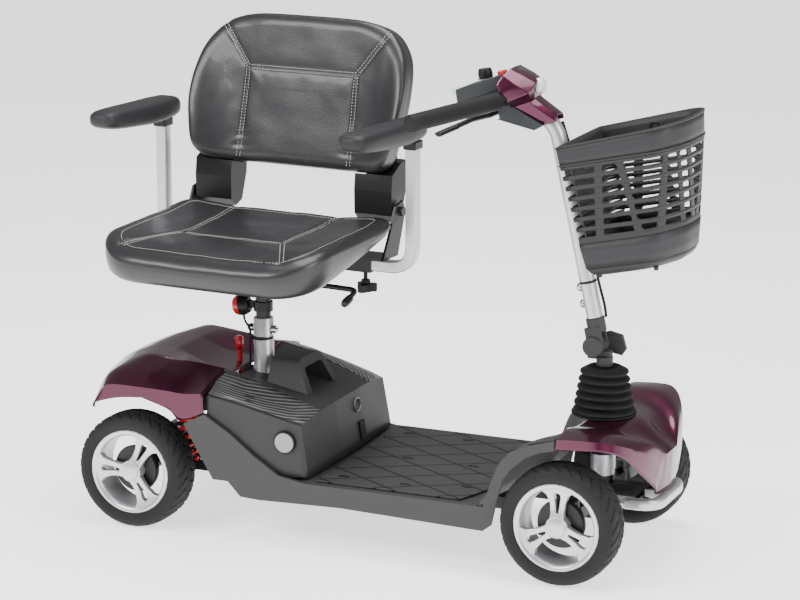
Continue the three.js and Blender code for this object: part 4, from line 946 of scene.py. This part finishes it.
box_section = []
for a0, b0, t0 in ((8, 8, 0), (-8, 8, 90), (-8, -8, 180), (8, -8, 270)):
    for k in range(5):
        t = math.radians(t0 + 22.5 * k)
        box_section.append((a0 + 3 * math.cos(t), b0 + 3 * math.sin(t)))
for name, side in SIDES:
    path = corner([S(-88, side * 70, 468), S(-88, side * 266, 468), S(-88, side * 266, 703)], 44, 12)
    tube(
        f"arm tube {name}", path, 11, TUBE, f"armrest_{name}", section=box_section,
        up=S(1000, 0, 0) - S(0, 0, 0), cad=f"armrest_tube_{name}",
    )

    def station(x, centre, half, low, high, side=side):
        """A rounded section of the pad across its length."""
        out = []
        for k in range(32):
            t = 2 * math.pi * k / 32
            y = half * bulge(math.cos(t), 0.62)
            z = (low + high) / 2 + (high - low) / 2 * bulge(math.sin(t), 0.72)
            out.append(S(x, side * (centre + y), z))
        return out

    stations = [
        (-114, 262, 10, 721, 735), (-113, 262, 17, 716, 741), (-107, 262, 24, 711, 746),
        (-93, 262, 27, 708, 749), (-48, 261, 29, 705, 751), (-8, 260.6, 29, 706, 751.4),
        (32, 260, 30, 709, 752), (72, 259.6, 30, 712, 752.6), (102, 259, 30, 715, 753),
        (124, 258.4, 28.5, 718.4, 752.4), (136, 258, 25, 722, 750.6), (143, 258, 19, 726, 747),
        (145.6, 258, 11, 730, 743),
    ]
    loft(
        f"arm pad {name}", [station(*s) for s in stations], PAD, f"arm_pad_{name}", True, 50,
        cad=f"armrest_pad_{name}",
    )

    def beside_post(a, b, c, side=side):
        return S(a, side * 266 + b, c)

    bracket = [(-104, -13), (-72, -13), (-72, 13), (-104, 13)]
    prism(
        f"pad bracket {name}", bracket, beside_post, 691, 707, STEEL, f"armrest_{name}", 0.002,
        slot="silver_paint",
    )
    soften(f"armrest_knob_{name}", BLACK, f"arm_knob_{name}", 0.002, 3)

# ---------- cushions ----------


def seam_depth(p, seams):
    """How far the cover is pulled in beside a seam, in millimetres."""
    nearest = min(segment_distance(p, a, b) for a, b in seams)
    return 3.0 * math.exp(-((nearest / 3.0) ** 2)) + 3.4 * math.exp(-nearest / 16.0)


def segment_distance(p, a, b):
    ab = (b[0] - a[0], b[1] - a[1])
    t = ((p[0] - a[0]) * ab[0] + (p[1] - a[1]) * ab[1]) / (ab[0] ** 2 + ab[1] ** 2)
    t = max(0.0, min(1.0, t))
    return math.hypot(p[0] - a[0] - ab[0] * t, p[1] - a[1] - ab[1] * t)


def edge_roll(edge, width):
    """How far the rounded border falls away at a distance in from the outline."""
    f = max(0.0, 1 - edge / width)
    return 15 * (1 - math.sqrt(max(0.0, 1 - f * f)))


def seat_outline(inset, per_side=34, per_corner=18):
    """Points round the cushion, set in from its edge, evenly spread on each side and corner."""
    a0, a1, b0, b1 = -106 + inset, 254 - inset, -223 + inset, 231 - inset
    rear, far = max(6.0, 52 - inset), max(6.0, 96 - inset)
    out = []
    corners = [
        (a1 - far, b1 - far, 0, far), (a0 + rear, b1 - rear, 90, rear), (a0 + rear, b0 + rear, 180, rear),
        (a1 - far, b0 + far, 270, far),
    ]

    def on_arc(bend, angle):
        ca, cb, start, radius = bend
        t = math.radians(start + angle)
        return ca + radius * math.cos(t), cb + radius * math.sin(t)

    for i, here in enumerate(corners):
        arc = [on_arc(here, 90 * k / per_corner) for k in range(per_corner + 1)]
        first = on_arc(corners[(i + 1) % 4], 0)
        out += arc
        for k in range(1, per_side):
            f = k / per_side
            out.append(tuple(p + (q - p) * f for p, q in zip(arc[-1], first)))
    return out


SEAT_SEAMS = [
    ((-101, 111), (109, 104)), ((-101, -111), (109, -104)),
    ((109, 104), (109, -104)),
    ((109, 104), (222, 166)), ((109, -104), (222, -166)),
]
EDGE, SEAT_MIDDLE = 26.0, 74.0


def seat_floor(x):
    return 490 + (66 - x) * 0.2 if x < 66 else 490 - (x - 66) * 0.165


def seat_top(x, y):
    drop = 16 * max(0.0, (x - 150) / 100) ** 2
    rise = 6 * max(0.0, (-20 - x) / 86)
    return 543.5 - x * 0.03 + 12 * (abs(y) / 230) ** 3 + rise - drop


def seat_surface(x, y, edge):
    """Height of the cushion's top; edge is the distance in from its outline."""
    z = seat_top(x, y)
    z -= seam_depth((x, y), SEAT_SEAMS)
    z -= 2.2 * math.exp(-(((edge - EDGE) / 3.0) ** 2))
    z += noise.noise(Vector((x / 60, y / 45, 3.1))) * 1.6 + noise.noise(Vector((x / 22, y / 18, 7.7))) * 0.5
    return z - edge_roll(edge, EDGE)


def make_cushion():
    rings = []

    def inset_ring(inset, height):
        return [S(x, y, height(x, y)) for x, y in seat_outline(inset)]

    for inset, lift in ((60, 1), (34, 0), (24, 2.5), (14, 8), (6, 16)):
        rings.append(inset_ring(inset, lambda x, y, lift=lift: seat_floor(x) + lift))
    for k in range(1, 9):
        f = k / 9
        bow = 4.0 * (1 - f) ** 2 - 0.6 * math.sin(math.pi * f)

        def side(x, y, f=f):
            low, high = seat_floor(x) + 22, seat_top(x, y) - 15
            return low + (high - low) * f + noise.noise(Vector((x / 40, y / 40, f * 3))) * 0.6

        rings.append(inset_ring(max(0.0, bow), side))
    insets = [0.0, 1.0, 2.5, 4.5, 7, 10, 13, 16, 19, 21.5, 23.5, 25, 26, 27, 28.5, 30.5, 33]
    while insets[-1] < 52:
        insets.append(insets[-1] + 3.6)
    for inset in insets:
        rings.append(inset_ring(inset, lambda x, y, inset=inset: seat_surface(x, y, inset)))
    # The middle: the last ring shrinks on to a line across the seat
    inner = seat_outline(insets[-1])
    steps = 34
    for k in range(1, steps):
        f = k / steps
        ring = []
        for x, y in inner:
            across = max(-52.0, min(52.0, y))
            px, py = x + (SEAT_MIDDLE - x) * f, y + (across - y) * f
            ring.append(S(px, py, seat_surface(px, py, 99)))
        rings.append(ring)
    body = loft("seat cushion", rings, LEATHER, "seat", True, 70, cad="cushion")


make_cushion()

BACK_LEAN = math.radians(13.5)
BACK_HALF = [
    (0, 0), (80, 0), (150, 0), (180, 3), (198, 12), (210, 32), (218, 70), (224, 110), (224, 150), (219, 190),
    (210, 218), (194, 242), (175, 260), (150, 272), (110, 280), (55, 282), (0, 282),
]


def back_point(depth, y, height):
    """The sides come forwards round the sitter, and more so low down than at the top."""
    c, s = math.cos(BACK_LEAN), math.sin(BACK_LEAN)
    depth -= (58 - 0.19 * height) * max(0.0, (abs(y) - 115) / 109) ** 2
    return S(-108 - height * s - depth * c, y, 634 + height * c - depth * s)


def back_outline(inset):
    points = [Vector((y * (1 - inset / 225), 141 + (h - 141) * (1 - inset / 141), 0)) for y, h in BACK_HALF]
    right = curve(points, 4)
    return right + [Vector((-p.x, p.y, 0)) for p in right[-2:0:-1]]


BACK_SEAMS = [
    ((118, 0), (118, 2)), ((-118, 0), (-118, 2)),
    ((118, 0), (115, 178)), ((-118, 0), (-115, 178)),
    ((115, 178), (-115, 178)),
    ((115, 178), (178, 262)), ((-115, 178), (-178, 262)),
]


def back_depth(y, h, edge):
    """Depth of the backrest's front, in from its foremost plane."""
    depth = 1.5 + seam_depth((y, h), BACK_SEAMS) * 0.9
    depth += noise.noise(Vector((y / 55, h / 60, 1.3))) * 1.6 + 0.6
    depth += noise.noise(Vector((y / 20, h / 24, 5.3))) * 0.4
    return depth + edge_roll(edge, 24)


def make_backrest():
    rings = []
    for depth, inset in ((58, 30), (58, 8), (56, 3), (52, 0.8)):
        rings.append([back_point(depth, p.x, p.y) for p in back_outline(inset)])
    for k in range(1, 8):
        depth = 52 - 34 * k / 8
        inset = max(0.0, 0.8 - 0.8 * k / 4) + (0.7 if k == 3 else 0)
        rings.append([back_point(depth, p.x, p.y) for p in back_outline(inset)])
    insets = [0, 1, 2.5, 4.5, 7, 10, 13, 16, 19, 22, 25, 28]
    while insets[-1] < 137:
        insets.append(insets[-1] + 3.2)
    for inset in insets:
        inset = min(inset, 139.0)
        rings.append([back_point(back_depth(p.x, p.y, inset), p.x, p.y) for p in back_outline(inset)])
    body = loft("backrest pad", rings, LEATHER, "backrest", True, 70, cad="backrest_pad")


make_backrest()
soften("backrest_shell", BLACK, "backrest", 0.004, 3)


def stitches(name, path, body):
    """A row of thread dashes along a path on a surface."""
    length, gap, radius = 3.6, 2.2, 0.55  # of a dash, in millimetres
    verts, faces = [], []
    total = sum((b - a).length for a, b in zip(path, path[1:])) * 1000
    step = length + gap

    def at(d):
        d /= 1000
        for a, b in zip(path, path[1:]):
            span = (b - a).length
            if d <= span:
                return a.lerp(b, d / span), (b - a).normalized()
            d -= span
        return path[-1], (path[-1] - path[-2]).normalized()

    for k in range(int(total / step)):
        p0, along = at(k * step + gap / 2)
        p1, _ = at(k * step + gap / 2 + length)
        u, v = basis(along)
        base = len(verts)
        for p, r in ((p0, 0.3), (p0.lerp(p1, 0.2), 1.0), (p0.lerp(p1, 0.8), 1.0), (p1, 0.3)):
            for q in range(6):
                t = math.pi * q / 3
                verts.append(p + (u * math.cos(t) + v * math.sin(t)) * (radius * r / 1000))
        faces.extend(ring_faces(6, 4, True, base))
        faces.append(tuple(base + q for q in range(6))[::-1])
        faces.append(tuple(base + 18 + q for q in range(6)))
    piece(name, verts, faces, THREAD, body, 60)


def offset_line(a, b, off, steps=24):
    """The line from a to b, moved sideways by off."""
    run, rise = b[0] - a[0], b[1] - a[1]
    d = math.hypot(run, rise)
    n = (-rise / d * off, run / d * off)
    return [(a[0] + run * k / steps + n[0], a[1] + rise * k / steps + n[1]) for k in range(steps + 1)]


for index, (a, b) in enumerate(SEAT_SEAMS):
    for off in (3.6, -3.6):
        line = offset_line(a, b, off)
        path = [S(x, y, seat_surface(x, y, 99) + 0.35) for x, y in line]
        stitches(f"seat stitch {index} {off}", path, "seat")
inset = EDGE + 3.4
edge_line = seat_outline(inset, 16, 8)
edge_line.append(edge_line[0])
stitches("seat edge stitch", [S(x, y, seat_surface(x, y, inset) + 0.35) for x, y in edge_line], "seat")
for index, (a, b) in enumerate(BACK_SEAMS[2:]):
    for off in (3.6, -3.6):
        line = [(y, h) for y, h in offset_line(a, b, off) if 6 < h]
        path = [back_point(back_depth(y, h, 99) - 0.35, y, h) for y, h in line]
        stitches(f"back stitch {index} {off}", path, "backrest")

# ---------- studio ----------

plane = bpy.data.meshes.new("floor")
plane.from_pydata([(-12, -12, 0), (12, -12, 0), (12, 12, 0), (-12, 12, 0)], [], [(0, 1, 2, 3)])
plane.materials.append(FLOOR)
ground = add_object("floor", plane)
ground.location.z = -0.0006

world = bpy.data.worlds.new("studio")
bpy.context.scene.world = world
world.use_nodes = True
set_inputs(world.node_tree.nodes["Background"], {"Color": (0.97, 0.98, 1.0, 1), "Strength": 0.35})


def softbox(name, where, target, width, height, power):
    data = bpy.data.lights.new(name, "AREA")
    data.shape = "RECTANGLE"
    data.size = width
    data.size_y = height
    data.energy = power
    lamp = add_object(name, data)
    lamp.location = where
    lamp.rotation_euler = (Vector(target) - Vector(where)).to_track_quat("-Z", "Y").to_euler()


softbox("key", (-1.6, -2.6, 2.6), (0, 0, 0.4), 2.0, 1.2, 120)
softbox("top", (0.2, 0.2, 3.0), (0, 0, 0.3), 2.4, 1.4, 95)
softbox("right", (2.9, -0.8, 1.6), (0, 0, 0.4), 1.2, 2.0, 60)

AZIMUTH, ELEVATION = math.radians(23.27), math.radians(13.65)
back = Vector(
    (math.sin(AZIMUTH) * math.cos(ELEVATION), -math.cos(AZIMUTH) * math.cos(ELEVATION), math.sin(ELEVATION))
)
right = Vector((math.cos(AZIMUTH), math.sin(AZIMUTH), 0))
up = back.cross(right)
camera_data = bpy.data.cameras.new("camera")
camera_data.lens = 126.75
camera_data.sensor_width = 36
camera = add_object("camera", camera_data)
turn = Matrix((right, up, back)).transposed().to_4x4()
camera.matrix_world = Matrix.Translation((1.9721, -4.5588, 1.6302)) @ turn
bpy.context.scene.camera = camera
